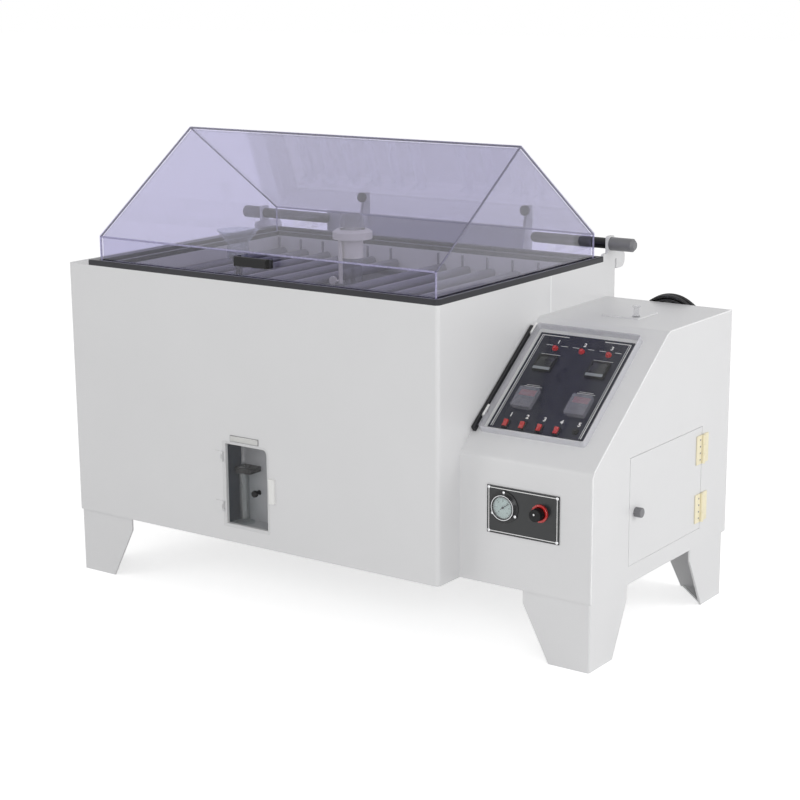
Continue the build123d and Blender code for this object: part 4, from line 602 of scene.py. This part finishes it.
def number(mesh, words, height, place):
    """Plain digits as thin raised print, laid out by a matrix."""
    text = bpy.data.curves.new("digits", "FONT")
    text.body = words
    text.size = height
    text.offset = height * 0.03
    text.align_x = "CENTER"
    text.align_y = "CENTER"
    holder = bpy.data.objects.new("digits", text)
    bpy.context.scene.collection.objects.link(holder)
    bpy.context.view_layer.update()
    flat = bpy.data.meshes.new_from_object(holder.evaluated_get(bpy.context.evaluated_depsgraph_get()))
    flat.transform(place)
    mesh.from_mesh(flat)
    bpy.data.objects.remove(holder)
    bpy.data.curves.remove(text)
    bpy.data.meshes.remove(flat)


def axes_place(across, along, out, corner):
    """The matrix that has these axes and this origin."""
    place = Matrix.Identity(4)
    for column, axis in enumerate((across, along, out, corner)):
        for row in range(3):
            place[row][column] = axis[row]
    return place


def slope_place():
    """The control panel's own axes: X across, Y up the slope and Z out, from its lower left corner."""
    low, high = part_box("control_panel")
    angle = math.atan2(SLOPE_RISE, SLOPE_REACH)
    across = Vector((1, 0, 0))
    along = Vector((0, math.cos(angle), math.sin(angle)))
    corner = Vector((low[0], low[1], low[2] + PANEL_THICKNESS * math.cos(angle)))
    return axes_place(across, along, across.cross(along), corner)


# Pieces


class CHAMBER_OT_finishes(bpy.types.Operator):
    """Give every carried-over solid its finish"""

    bl_idname = "chamber.finishes"
    bl_label = "Finishes"

    def execute(self, context):
        for maker, names in FINISHES.items():
            for name in names.split():
                node = NODES[name]
                node.data.materials.clear()
                node.data.materials.append(material(maker))
                node.data.shade_smooth()
                node.data.set_sharp_from_angle(angle=CAD_SMOOTH)
        out = slope_place().col[2].to_3d()
        handle_low, handle_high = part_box("lid_handle")
        left, right = handle_low[0] + HANDLE_BRACKET, handle_high[0] - HANDLE_BRACKET
        for name, maker, chosen in (
            # The cover's side walls get painted light
            ("panel_cover", clear_wall_painted_light, lambda face: abs(face.normal.dot(out)) < 0.9),
            # The recess's left cheek gets painted shade
            ("window_recess", recess_cheek_painted_shade, lambda face: face.normal.x > 0.9),
            # The rim's upward faces get painted light
            ("rim_trough", rim_top_painted_light, lambda face: face.normal.z > 0.9),
            # The tank's floor under the bars gets painted shade
            ("tank", tank_floor_painted_shade, lambda face: face.center.z < TANK_LOW and face.normal.z > 0.9),
            ("tower_cap", clear_moulding, lambda face: face.center.z > CAP_COLLAR_TOP),
            ("lid_handle", clear_sheet, lambda face: not left < face.center.x < right),
        ):
            repaint(NODES[name], maker, chosen)
        return {"FINISHED"}


class CHAMBER_OT_lid_edges(bpy.types.Operator):
    """Add the lid's edges: painted highlight on the upright and eave edges, painted shade on the slant edges
    and the ridge
    """

    bl_idname = "chamber.lid_bonds"
    bl_label = "Lid edges"

    def execute(self, context):
        low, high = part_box("lid")
        middle = (low[1] + high[1]) / 2
        inset = sizes().edge_band_width
        bright, dark = bmesh.new(), bmesh.new()
        profile = (
            (low[1], low[2]), (low[1], LID_EAVE), (middle, high[2]), (high[1], LID_EAVE), (high[1], low[2])
        )
        for x in (low[0] + inset / 2, high[0] - inset / 2):
            for start, end in zip(profile, profile[1:]):
                mesh = bright if start[0] == end[0] else dark
                ends = [(x, *self.inside(corner, middle, inset)) for corner in (start, end)]
                rod(mesh, *ends, inset / 2, sides=8)
        for corner in profile[1:4]:
            y, z = self.inside(corner, middle, inset)
            mesh = dark if corner[0] == middle else bright
            rod(mesh, (low[0] + inset, y, z), (high[0] - inset, y, z), inset / 2, sides=8)
        keep(bright, "lid_edge_highlights", edge_painted_highlight, "lid")
        keep(dark, "lid_edge_shade", edge_painted_shade, "lid")
        return {"FINISHED"}

    def inside(self, corner, middle, inset):
        """A corner of the gable, drawn in by half an edge band's width, and the lower ones drawn up."""
        y, z = corner
        side = 0 if y == middle else math.copysign(1, middle - y)
        drop = inset * 0.7 if z > (LID_EDGE + LID_EAVE) / 2 else -inset / 2
        return y + side * inset / 2, z - drop


class CHAMBER_OT_welds_and_highlights(bpy.types.Operator):
    """Add the weld bead of the cabinet's seam, and painted highlights along the box's right edges"""

    bl_idname = "chamber.welds"
    bl_label = "Weld bead and edge highlights"

    def execute(self, context):
        low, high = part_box("cabinet_shell")
        box_low, box_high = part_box("control_box_shell")
        radius = sizes().bead_and_highlight_radius
        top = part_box("filler_hatch")[1][2] - HATCH_STAND
        mesh = bmesh.new()
        seam_x, seam_y = high[0] - radius * 0.6, low[1] + SEAM_BACK
        rod(mesh, (seam_x, seam_y, box_high[2] - 0.02), (seam_x, seam_y, high[2]), radius, sides=10)
        # Painted highlight: up the box's right front edge, over its slope and back along its top, with each
        # fold cut short
        fold_y, fold_z = box_low[1] + SLOPE_REACH, top - SLOPE_RISE
        angle = math.atan2(SLOPE_RISE, SLOPE_REACH)
        short = 0.007
        run, climb = short * math.cos(angle), short * math.sin(angle)
        route = (
            (box_low[1], box_low[2] + 0.002),
            (box_low[1], fold_z - short),
            (box_low[1] + run, fold_z + climb),
            (fold_y - run, top - climb),
            (fold_y + short, top),
            (box_low[1] + BOX_DEPTH - 0.006, top),
        )
        x = box_high[0] - radius / 2
        places = [(x, y + radius * 0.4, z - radius * 0.4) for y, z in route]
        for start, end in zip(places, places[1:]):
            rod(mesh, start, end, radius * 0.8, sides=10)
        keep(mesh, "cabinet_weld_and_edge_highlight", weld_and_edge_highlight, "cabinet")
        return {"FINISHED"}


class CHAMBER_OT_panel_print(bpy.types.Operator):
    """Add the control panel's lines, plain numbers, displays and keys, and the dark strip of painted shade by
    its cover
    """

    bl_idname = "chamber.panel_print"
    bl_label = "Panel print"

    def execute(self, context):
        place = slope_place()
        ink = bmesh.new()
        self.border(ink)
        self.labels(ink)
        ink.transform(place)
        keep(ink, "panel_print", white_ink, "cabinet")
        # Flat parts: name, finish, places across, half widths, edges up the slope, heights and bevel
        for name, maker, places, half, across, heights, bevel in (
            (
                "panel_displays", display_window, CONTROLLER_XS, 0.019,
                (CONTROLLER_Y - 0.012, CONTROLLER_Y + 0.018), (0.0052, 0.0062), 0.0004,
            ),
            (
                "timer_bands", red_polymer, TIMER_XS, 0.020,
                (TIMER_Y + 0.005, TIMER_Y + 0.022), (0.0080, 0.0086), 0.0003,
            ),
            (
                "timer_windows", display_window, TIMER_XS, 0.017,
                (TIMER_Y - 0.016, TIMER_Y - 0.003), (0.0080, 0.0086), 0.0003,
            ),
            (
                "controller_keys", key_polymer, CONTROLLER_XS, 0.021,
                (CONTROLLER_Y - 0.0210, CONTROLLER_Y - 0.0135), (0.0070, 0.0080), 0.0003,
            ),
            # Painted shade: a dark block beside the cover, clear of its swing
            ("cover_shade_strip", bumper_rubber, (-0.0245,), 0.004, (-0.018, 0.288), (-0.002, 0.0118), 0.0008),
        ):
            mesh = bmesh.new()
            for x in places:
                block(mesh, (x - half, across[0], heights[0]), (x + half, across[1], heights[1]), bevel)
            mesh.transform(place)
            keep(mesh, name, maker, "cabinet")
        return {"FINISHED"}

    def border(self, ink):
        """Two lines down each side, and one along the top, with a gap in its middle."""
        line = sizes().border_width
        top = PANEL_LENGTH - PANEL_EDGE
        for inset, thick in ((PANEL_EDGE, line), (PANEL_EDGE + 0.0045, line / 2)):
            right = PANEL_WIDTH - inset
            block(ink, (inset, 0.004, 0), (inset + thick, top, INK_RISE))
            block(ink, (right - thick, 0.004, 0), (right, top, INK_RISE))
        for left, right in ((PANEL_EDGE, 0.075), (0.165, PANEL_WIDTH - PANEL_EDGE)):
            block(ink, (left, top - line, 0), (right, top, INK_RISE))

    def labels(self, ink):
        """Plain numbers over the switches and lamps, and thin lines over the other parts."""
        for places, height, y in ((SWITCH_XS, 0.015, 0.040), (LAMP_XS, 0.014, 0.258)):
            for index, x in enumerate(places, start=1):
                number(ink, str(index), height, Matrix.Translation((x, y, INK_RISE)))
        sides = ((-0.027, -0.011), (0.011, 0.027))
        lines = [(x + near, x + far, 0.247) for x in LAMP_XS for near, far in sides]
        for x in CONTROLLER_XS:
            lines.append((x - 0.024, x + 0.024, 0.2195))
            lines.append((x - 0.020, x + 0.024, 0.1235))
            lines.append((x - 0.016, x + 0.018, 0.1275))
        for left, right, y in lines:
            block(ink, (left, y, 0), (right, y + 0.0008, INK_RISE))


class CHAMBER_OT_gauge(bpy.types.Operator):
    """Add the gauge's dial, bezel and glass, and the plate's border and screws"""

    bl_idname = "chamber.gauge"
    bl_label = "Gauge"

    def execute(self, context):
        low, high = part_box("gauge_plate")
        face = low[1]
        centre_x, centre_z = low[0] + GAUGE_X, low[2] + GAUGE_Z

        def disc(back, front, radius, sides=64):
            """A disc about the gauge's axis, between two depths in front of the plate."""
            mesh = bmesh.new()
            rod(mesh, (centre_x, face - back, centre_z), (centre_x, face - front, centre_z), radius, sides)
            return mesh

        def spot(radius, degrees, depth):
            """A place on the gauge, by its radius, its angle and its depth in front of the plate."""
            angle = math.radians(degrees)
            return (centre_x + radius * math.cos(angle), face - depth, centre_z + radius * math.sin(angle))

        keep(disc(0, 0.0016, FLANGE_RADIUS), "gauge_flange", gauge_enamel, "cabinet")
        keep(disc(0.0042, 0.0048, DIAL_RADIUS), "gauge_dial", dial_paint, "cabinet")
        marks = bmesh.new()
        for step in range(31):
            degrees = 225 - 9 * step
            inner, thick = (0.0200, 0.00022) if step % 5 else (0.0185, 0.0004)
            rod(marks, spot(inner, degrees, 0.0050), spot(MARK_RADIUS, degrees, 0.0050), thick, sides=6)
        facing = Matrix.Rotation(math.pi / 2, 4, "X")
        for step in range(7):
            place = Matrix.Translation(spot(NUMBER_RADIUS, 225 - 45 * step, 0.0050)) @ facing
            number(marks, str(step), 0.0044, place)
        keep(marks, "gauge_marks", gauge_enamel, "cabinet")
        bezel = disc(0.002, 0.0090, BEZEL_RADIUS)
        caps = [f for f in bezel.faces if abs(f.normal.y) > 0.9]
        bmesh.ops.delete(bezel, geom=caps, context="FACES")
        bmesh.ops.recalc_face_normals(bezel, faces=bezel.faces)
        bmesh.ops.solidify(bezel, geom=bezel.faces[:], thickness=-BEZEL_WALL)
        keep(bezel, "gauge_bezel", chrome_plate, "cabinet")
        keep(disc(0.0080, 0.0086, GLASS_RADIUS, sides=48), "gauge_glass", lab_glass, "cabinet")
        screws = bmesh.new()
        for degrees in (90, 210, 330):
            dome(screws, spot(FLANGE_SCREWS, degrees, 0.002), (0, -1, 0), 0.0036, 0.0022)
        left, right = low[0] + PLATE_SCREW_IN, high[0] - PLATE_SCREW_IN
        bottom, top = low[2] + PLATE_SCREW_IN, high[2] - PLATE_SCREW_IN
        for x in (left, right):
            for z in (bottom, top):
                dome(screws, (x, face, z), (0, -1, 0), 0.0040, 0.0024)
        keep(screws, "gauge_plate_screws", chrome_plate, "cabinet")
        ink = bmesh.new()
        half = sizes().border_width / 2
        for z in (bottom, top):
            block(ink, (left, face - INK_RISE, z - half), (right, face + INK_RISE, z + half))
        for x in (left, right):
            block(ink, (x - half, face - INK_RISE, bottom), (x + half, face + INK_RISE, top))
        keep(ink, "gauge_plate_border", white_ink, "cabinet")
        knob_low, knob_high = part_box("regulator_knob")
        middle = (knob_low + knob_high) / 2
        dot = bmesh.new()
        dome(dot, (middle.x - 0.002, knob_low.y, middle.z + 0.002), (0, -1, 0), 0.0022, 0.0006)
        keep(dot, "regulator_knob_dot", white_ink, "regulator_knob")
        return {"FINISHED"}


class CHAMBER_OT_door_hinges(bpy.types.Operator):
    """Model the access door's moulded hinges, their screws and the strip in the door's gap"""

    bl_idname = "chamber.door_hinges"
    bl_label = "Door hinges"

    def execute(self, context):
        low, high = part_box("door_leaves")
        face = low[0]
        axis_x = face + KNUCKLE_RADIUS
        axis_y = (high[1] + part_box("door_hinges")[0][1]) / 2
        front = face + HINGE_THICKNESS
        door, fixed, heads, plugs = (bmesh.new() for _ in range(4))
        for centre in (low[2] + HINGE_END, high[2] - HINGE_END):
            bottom, top = centre - HINGE_HEIGHT / 2, centre + HINGE_HEIGHT / 2
            third = HINGE_HEIGHT / 3
            near, far = KNUCKLE_RADIUS + RUNNING_GAP, HINGE_REACH
            block(door, (face, axis_y - far, bottom), (front, axis_y - near, top), 0.001)
            block(fixed, (face, axis_y + near, bottom), (front, axis_y + far, top), 0.001)
            # Three knuckles: the middle one is the door's, each joined to its leaf by a web
            for step in range(3):
                low_z, high_z = bottom + step * third + RUNNING_GAP, bottom + (step + 1) * third - RUNNING_GAP
                mesh, side = (door, -1) if step == 1 else (fixed, 1)
                rod(mesh, (axis_x, axis_y, low_z), (axis_x, axis_y, high_z), KNUCKLE_RADIUS)
                near_y, far_y = sorted((axis_y, axis_y + side * (KNUCKLE_RADIUS + 0.002)))
                block(mesh, (face, near_y, low_z), (front, far_y, high_z))
            for step in range(4):
                z = centre + (step - 1.5) * DOOR_SCREW_PITCH
                dome(heads, (front, axis_y - 0.013, z), (1, 0, 0), sizes().screw_radius, 0.0008)
                dome(plugs, (front, axis_y + 0.018, z), (1, 0, 0), sizes().screw_radius, 0.0006)
        leaf = keep(door, "door_hinge_leaf", ivory_polymer, "access_door")
        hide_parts("door_leaves")
        plate = keep(fixed, "box_hinge_leaf", ivory_polymer, "cabinet")
        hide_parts("door_hinges")
        keep(heads, "door_hinge_screws", knob_polymer, "access_door")
        keep(plugs, "box_hinge_plugs", ivory_polymer, "cabinet")
        self.gap_strip()
        return {"FINISHED"}

    def gap_strip(self):
        """A thin pale strip in the door's gap, down its front edge and along its top and bottom."""
        low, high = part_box("access_door")
        deep, shallow = high[0] - 0.0030, high[0] - 0.0008
        wide = GAP_FAR - GAP_NEAR
        front = low[1] - GAP_FAR
        strip = bmesh.new()
        block(strip, (deep, front, low[2] - GAP_FAR), (shallow, front + wide, high[2] + GAP_FAR))
        for z in (low[2] - GAP_FAR, high[2] + GAP_NEAR):
            block(strip, (deep, front, z), (shallow, high[1], z + wide))
        keep(strip, "door_gap_strip", body_sheet, "cabinet")


class CHAMBER_OT_window_plate(bpy.types.Operator):
    """Add the small bare plate over the sampling window, on its darker edge"""

    bl_idname = "chamber.window_plate"
    bl_label = "Window plate"

    def execute(self, context):
        low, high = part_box("window_door")
        left, right = low[0] + 0.028, low[0] + 0.110
        bottom, top = high[2] + 0.002, high[2] + 0.015
        back, lap = low[1] + 0.0055, 0.001
        plate = bmesh.new()
        block(plate, (left, low[1] + 0.0035, bottom), (right, back, top), 0.0006)
        keep(plate, "window_plate", bright_steel, "cabinet")
        rim = bmesh.new()
        block(rim, (left - lap, low[1] + 0.0042, bottom - lap), (right + lap, back, top + lap), 0.0004)
        keep(rim, "window_plate_edge", knob_polymer, "cabinet")
        return {"FINISHED"}


class CHAMBER_OT_cord(bpy.types.Operator):
    """Lay the mains cord from its gland into the coil and the plug"""

    bl_idname = "chamber.cord"
    bl_label = "Mains cord"

    def execute(self, context):
        route = [
            (0.50585, 0.31965, 0.315),
            (0.50585, 0.37765, 0.315),
            (0.50985, 0.37965, 0.377),
            (0.51585, 0.35365, 0.437),
            (0.524053, 0.32645, 0.495021),
            (0.500809, 0.32645, 0.544868),
        ]
        # Two turns inwards beside the box, from the lower left
        steps = 16
        start = math.pi + math.radians(25)
        for step in range(1, 2 * steps + 1):
            reach = COIL_RADIUS - COIL_SHRINK * step / (2 * steps)
            route.append(self.on_coil(start - step * 2 * math.pi / steps, reach, COIL_NEAR))
        # The rest outwards in a second row, to the right, where the tail leaves
        last = start - 4 * math.pi
        rest = math.degrees(last) % 360 + 360 - 50
        back = round(rest / (360 / steps)) + steps
        for step in range(1, back + 1):
            angle = last - step * (rest / 180 * math.pi + 2 * math.pi) / back
            reach = COIL_RADIUS - COIL_SHRINK * (1 - step / back)
            depth = COIL_NEAR + (COIL_FAR - COIL_NEAR) * min(1, step / 3)
            route.append(self.on_coil(angle, reach, depth))
        for offset_x, offset_z in ((0.0777, 0.046), (0.0980, 0.030), (0.1037, 0.012), (0.1037, 0.002)):
            route.append((COIL_X + offset_x, 0.33165, COIL_Z + offset_z))
        curve = bpy.data.curves.new("mains_cord", "CURVE")
        curve.dimensions = "3D"
        curve.bevel_depth = CORD_RADIUS
        curve.bevel_resolution = 4
        spline = curve.splines.new("NURBS")
        spline.points.add(len(route) - 1)
        for point, place in zip(spline.points, route):
            point.co = (*place, 1)
        spline.order_u = 3
        spline.use_endpoint_u = True
        curve.materials.append(material(cord_sheath))
        made = bpy.data.objects.new("mains_cord", curve)
        context.scene.collection.objects.link(made)
        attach(made, "cabinet")
        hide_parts("power_cord", "cord_coil")
        return {"FINISHED"}

    def on_coil(self, angle, reach, depth):
        """A point of the coil, by its angle, its radius and its place behind the box."""
        return (COIL_X + reach * math.cos(angle), depth, COIL_Z + reach * math.sin(angle))


class CHAMBER_OT_stage(bpy.types.Operator):
    """Set the floor, the lights and the camera"""

    bl_idname = "chamber.stage"
    bl_label = "Stage"

    def execute(self, context):
        scene = context.scene
        scene.view_settings.view_transform = "Standard"
        mesh = bmesh.new()
        bmesh.ops.create_grid(mesh, x_segments=1, y_segments=1, size=FLOOR_REACH)
        floor = bpy.data.meshes.new("floor")
        mesh.to_mesh(floor)
        mesh.free()
        ground = bpy.data.objects.new("floor", floor)
        scene.collection.objects.link(ground)
        floor.materials.append(self.floor_paint())
        self.sky(scene)
        for lamp in LAMPS:
            self.lamp(*lamp)
        self.camera(scene)
        return {"FINISHED"}

    def floor_paint(self):
        """White where the camera, gloss or glass sees it, and it keeps the object's shadow."""
        paint = bpy.data.materials.new("white studio floor")
        paint.use_nodes = True
        tree = paint.node_tree
        tree.nodes.clear()
        matt = add_node(tree, "ShaderNodeBsdfDiffuse", {"Color": linear("#F0F0F0")})
        lift = add_node(
            tree,
            "ShaderNodeEmission",
            {"Color": linear("#FFFFFF")},
            {"Strength": self.seen(tree, FLOOR_LIFT)},
        )
        both = add_node(
            tree, "ShaderNodeAddShader", None, {0: matt.outputs["BSDF"], 1: lift.outputs["Emission"]}
        )
        add_node(tree, "ShaderNodeOutputMaterial", None, {"Surface": both.outputs["Shader"]})
        return paint

    def seen(self, tree, strength):
        """A value of this strength for rays from the camera, from gloss or through glass, else none."""
        path = add_node(tree, "ShaderNodeLightPath")
        first = add_node(
            tree, "ShaderNodeMath", {"operation": "MAXIMUM"},
            {0: path.outputs["Is Camera Ray"], 1: path.outputs["Is Transmission Ray"]},
        )
        both = add_node(
            tree, "ShaderNodeMath", {"operation": "MAXIMUM"},
            {0: first.outputs[0], 1: path.outputs["Is Glossy Ray"]},
        )
        scaled = add_node(
            tree, "ShaderNodeMath", {"operation": "MULTIPLY", 1: strength}, {0: both.outputs[0]}
        )
        return scaled.outputs[0]

    def sky(self, scene):
        """White behind the object, and a soft even light on it."""
        world = bpy.data.worlds.new("studio")
        scene.world = world
        world.use_nodes = True
        tree = world.node_tree
        tree.nodes.clear()
        light, white = (
            add_node(tree, "ShaderNodeBackground", {"Color": linear("#FFFFFF"), "Strength": strength})
            for strength in (SKY_LIGHT, 1.0)
        )
        mix = add_node(
            tree, "ShaderNodeMixShader", None,
            {0: self.seen(tree, 1.0), 1: light.outputs[0], 2: white.outputs[0]},
        )
        add_node(tree, "ShaderNodeOutputWorld", None, {"Surface": mix.outputs[0]})

    def lamp(self, name, place, aim, power, size):
        """A soft square lamp that looks at a point."""
        data = bpy.data.lights.new(name, "AREA")
        data.energy = power
        data.size = size
        made = bpy.data.objects.new(name, data)
        bpy.context.scene.collection.objects.link(made)
        made.matrix_world = Matrix.Translation(place) @ (
            (Vector(place) - Vector(aim)).to_track_quat("Z", "Y").to_matrix().to_4x4()
        )

    def camera(self, scene):
        """The photograph's place, aim, roll and lens."""
        yaw, pitch, roll = (math.radians(a) for a in (CAMERA_YAW, CAMERA_PITCH, CAMERA_ROLL))
        ahead = Vector((-math.sin(yaw) * math.cos(pitch), math.cos(yaw) * math.cos(pitch), -math.sin(pitch)))
        right = Vector((math.cos(yaw), math.sin(yaw), 0))
        up = right.cross(ahead)
        turned = right * math.cos(roll) + up * math.sin(roll)
        upright = up * math.cos(roll) - right * math.sin(roll)
        data = bpy.data.cameras.new("camera")
        data.sensor_width = SENSOR_WIDTH
        data.lens = CAMERA_LENS
        made = bpy.data.objects.new("camera", data)
        scene.collection.objects.link(made)
        made.matrix_world = axes_place(turned, upright, -ahead, Vector(CAMERA_PLACE))
        scene.camera = made


class CHAMBER_PT_panel(bpy.types.Panel):
    """The chamber's pieces, colours and sizes"""

    bl_idname = "CHAMBER_PT_panel"
    bl_label = "Salt fog chamber"
    bl_space_type = "VIEW_3D"
    bl_region_type = "UI"
    bl_category = "Chamber"

    def draw(self, context):
        for operator in OPERATORS:
            self.layout.operator(operator.bl_idname)
        for group in (context.scene.chamber_colours, context.scene.chamber_sizes):
            for name in group.__annotations__:
                self.layout.prop(group, name)


OPERATORS = (
    CHAMBER_OT_finishes,
    CHAMBER_OT_lid_edges,
    CHAMBER_OT_welds_and_highlights,
    CHAMBER_OT_panel_print,
    CHAMBER_OT_gauge,
    CHAMBER_OT_door_hinges,
    CHAMBER_OT_window_plate,
    CHAMBER_OT_cord,
    CHAMBER_OT_stage,
)
CLASSES = (ChamberColours, ChamberSizes, CHAMBER_PT_panel) + OPERATORS


def register():
    for item in CLASSES:
        bpy.utils.register_class(item)
    bpy.types.Scene.chamber_colours = bpy.props.PointerProperty(type=ChamberColours)
    bpy.types.Scene.chamber_sizes = bpy.props.PointerProperty(type=ChamberSizes)


def unregister():
    del bpy.types.Scene.chamber_sizes
    del bpy.types.Scene.chamber_colours
    for item in reversed(CLASSES):
        bpy.utils.unregister_class(item)


def main():
    """Register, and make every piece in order."""
    register()
    for operator in OPERATORS:
        group, name = operator.bl_idname.split(".")
        getattr(getattr(bpy.ops, group), name)()


if __name__ == "__main__":
    main()
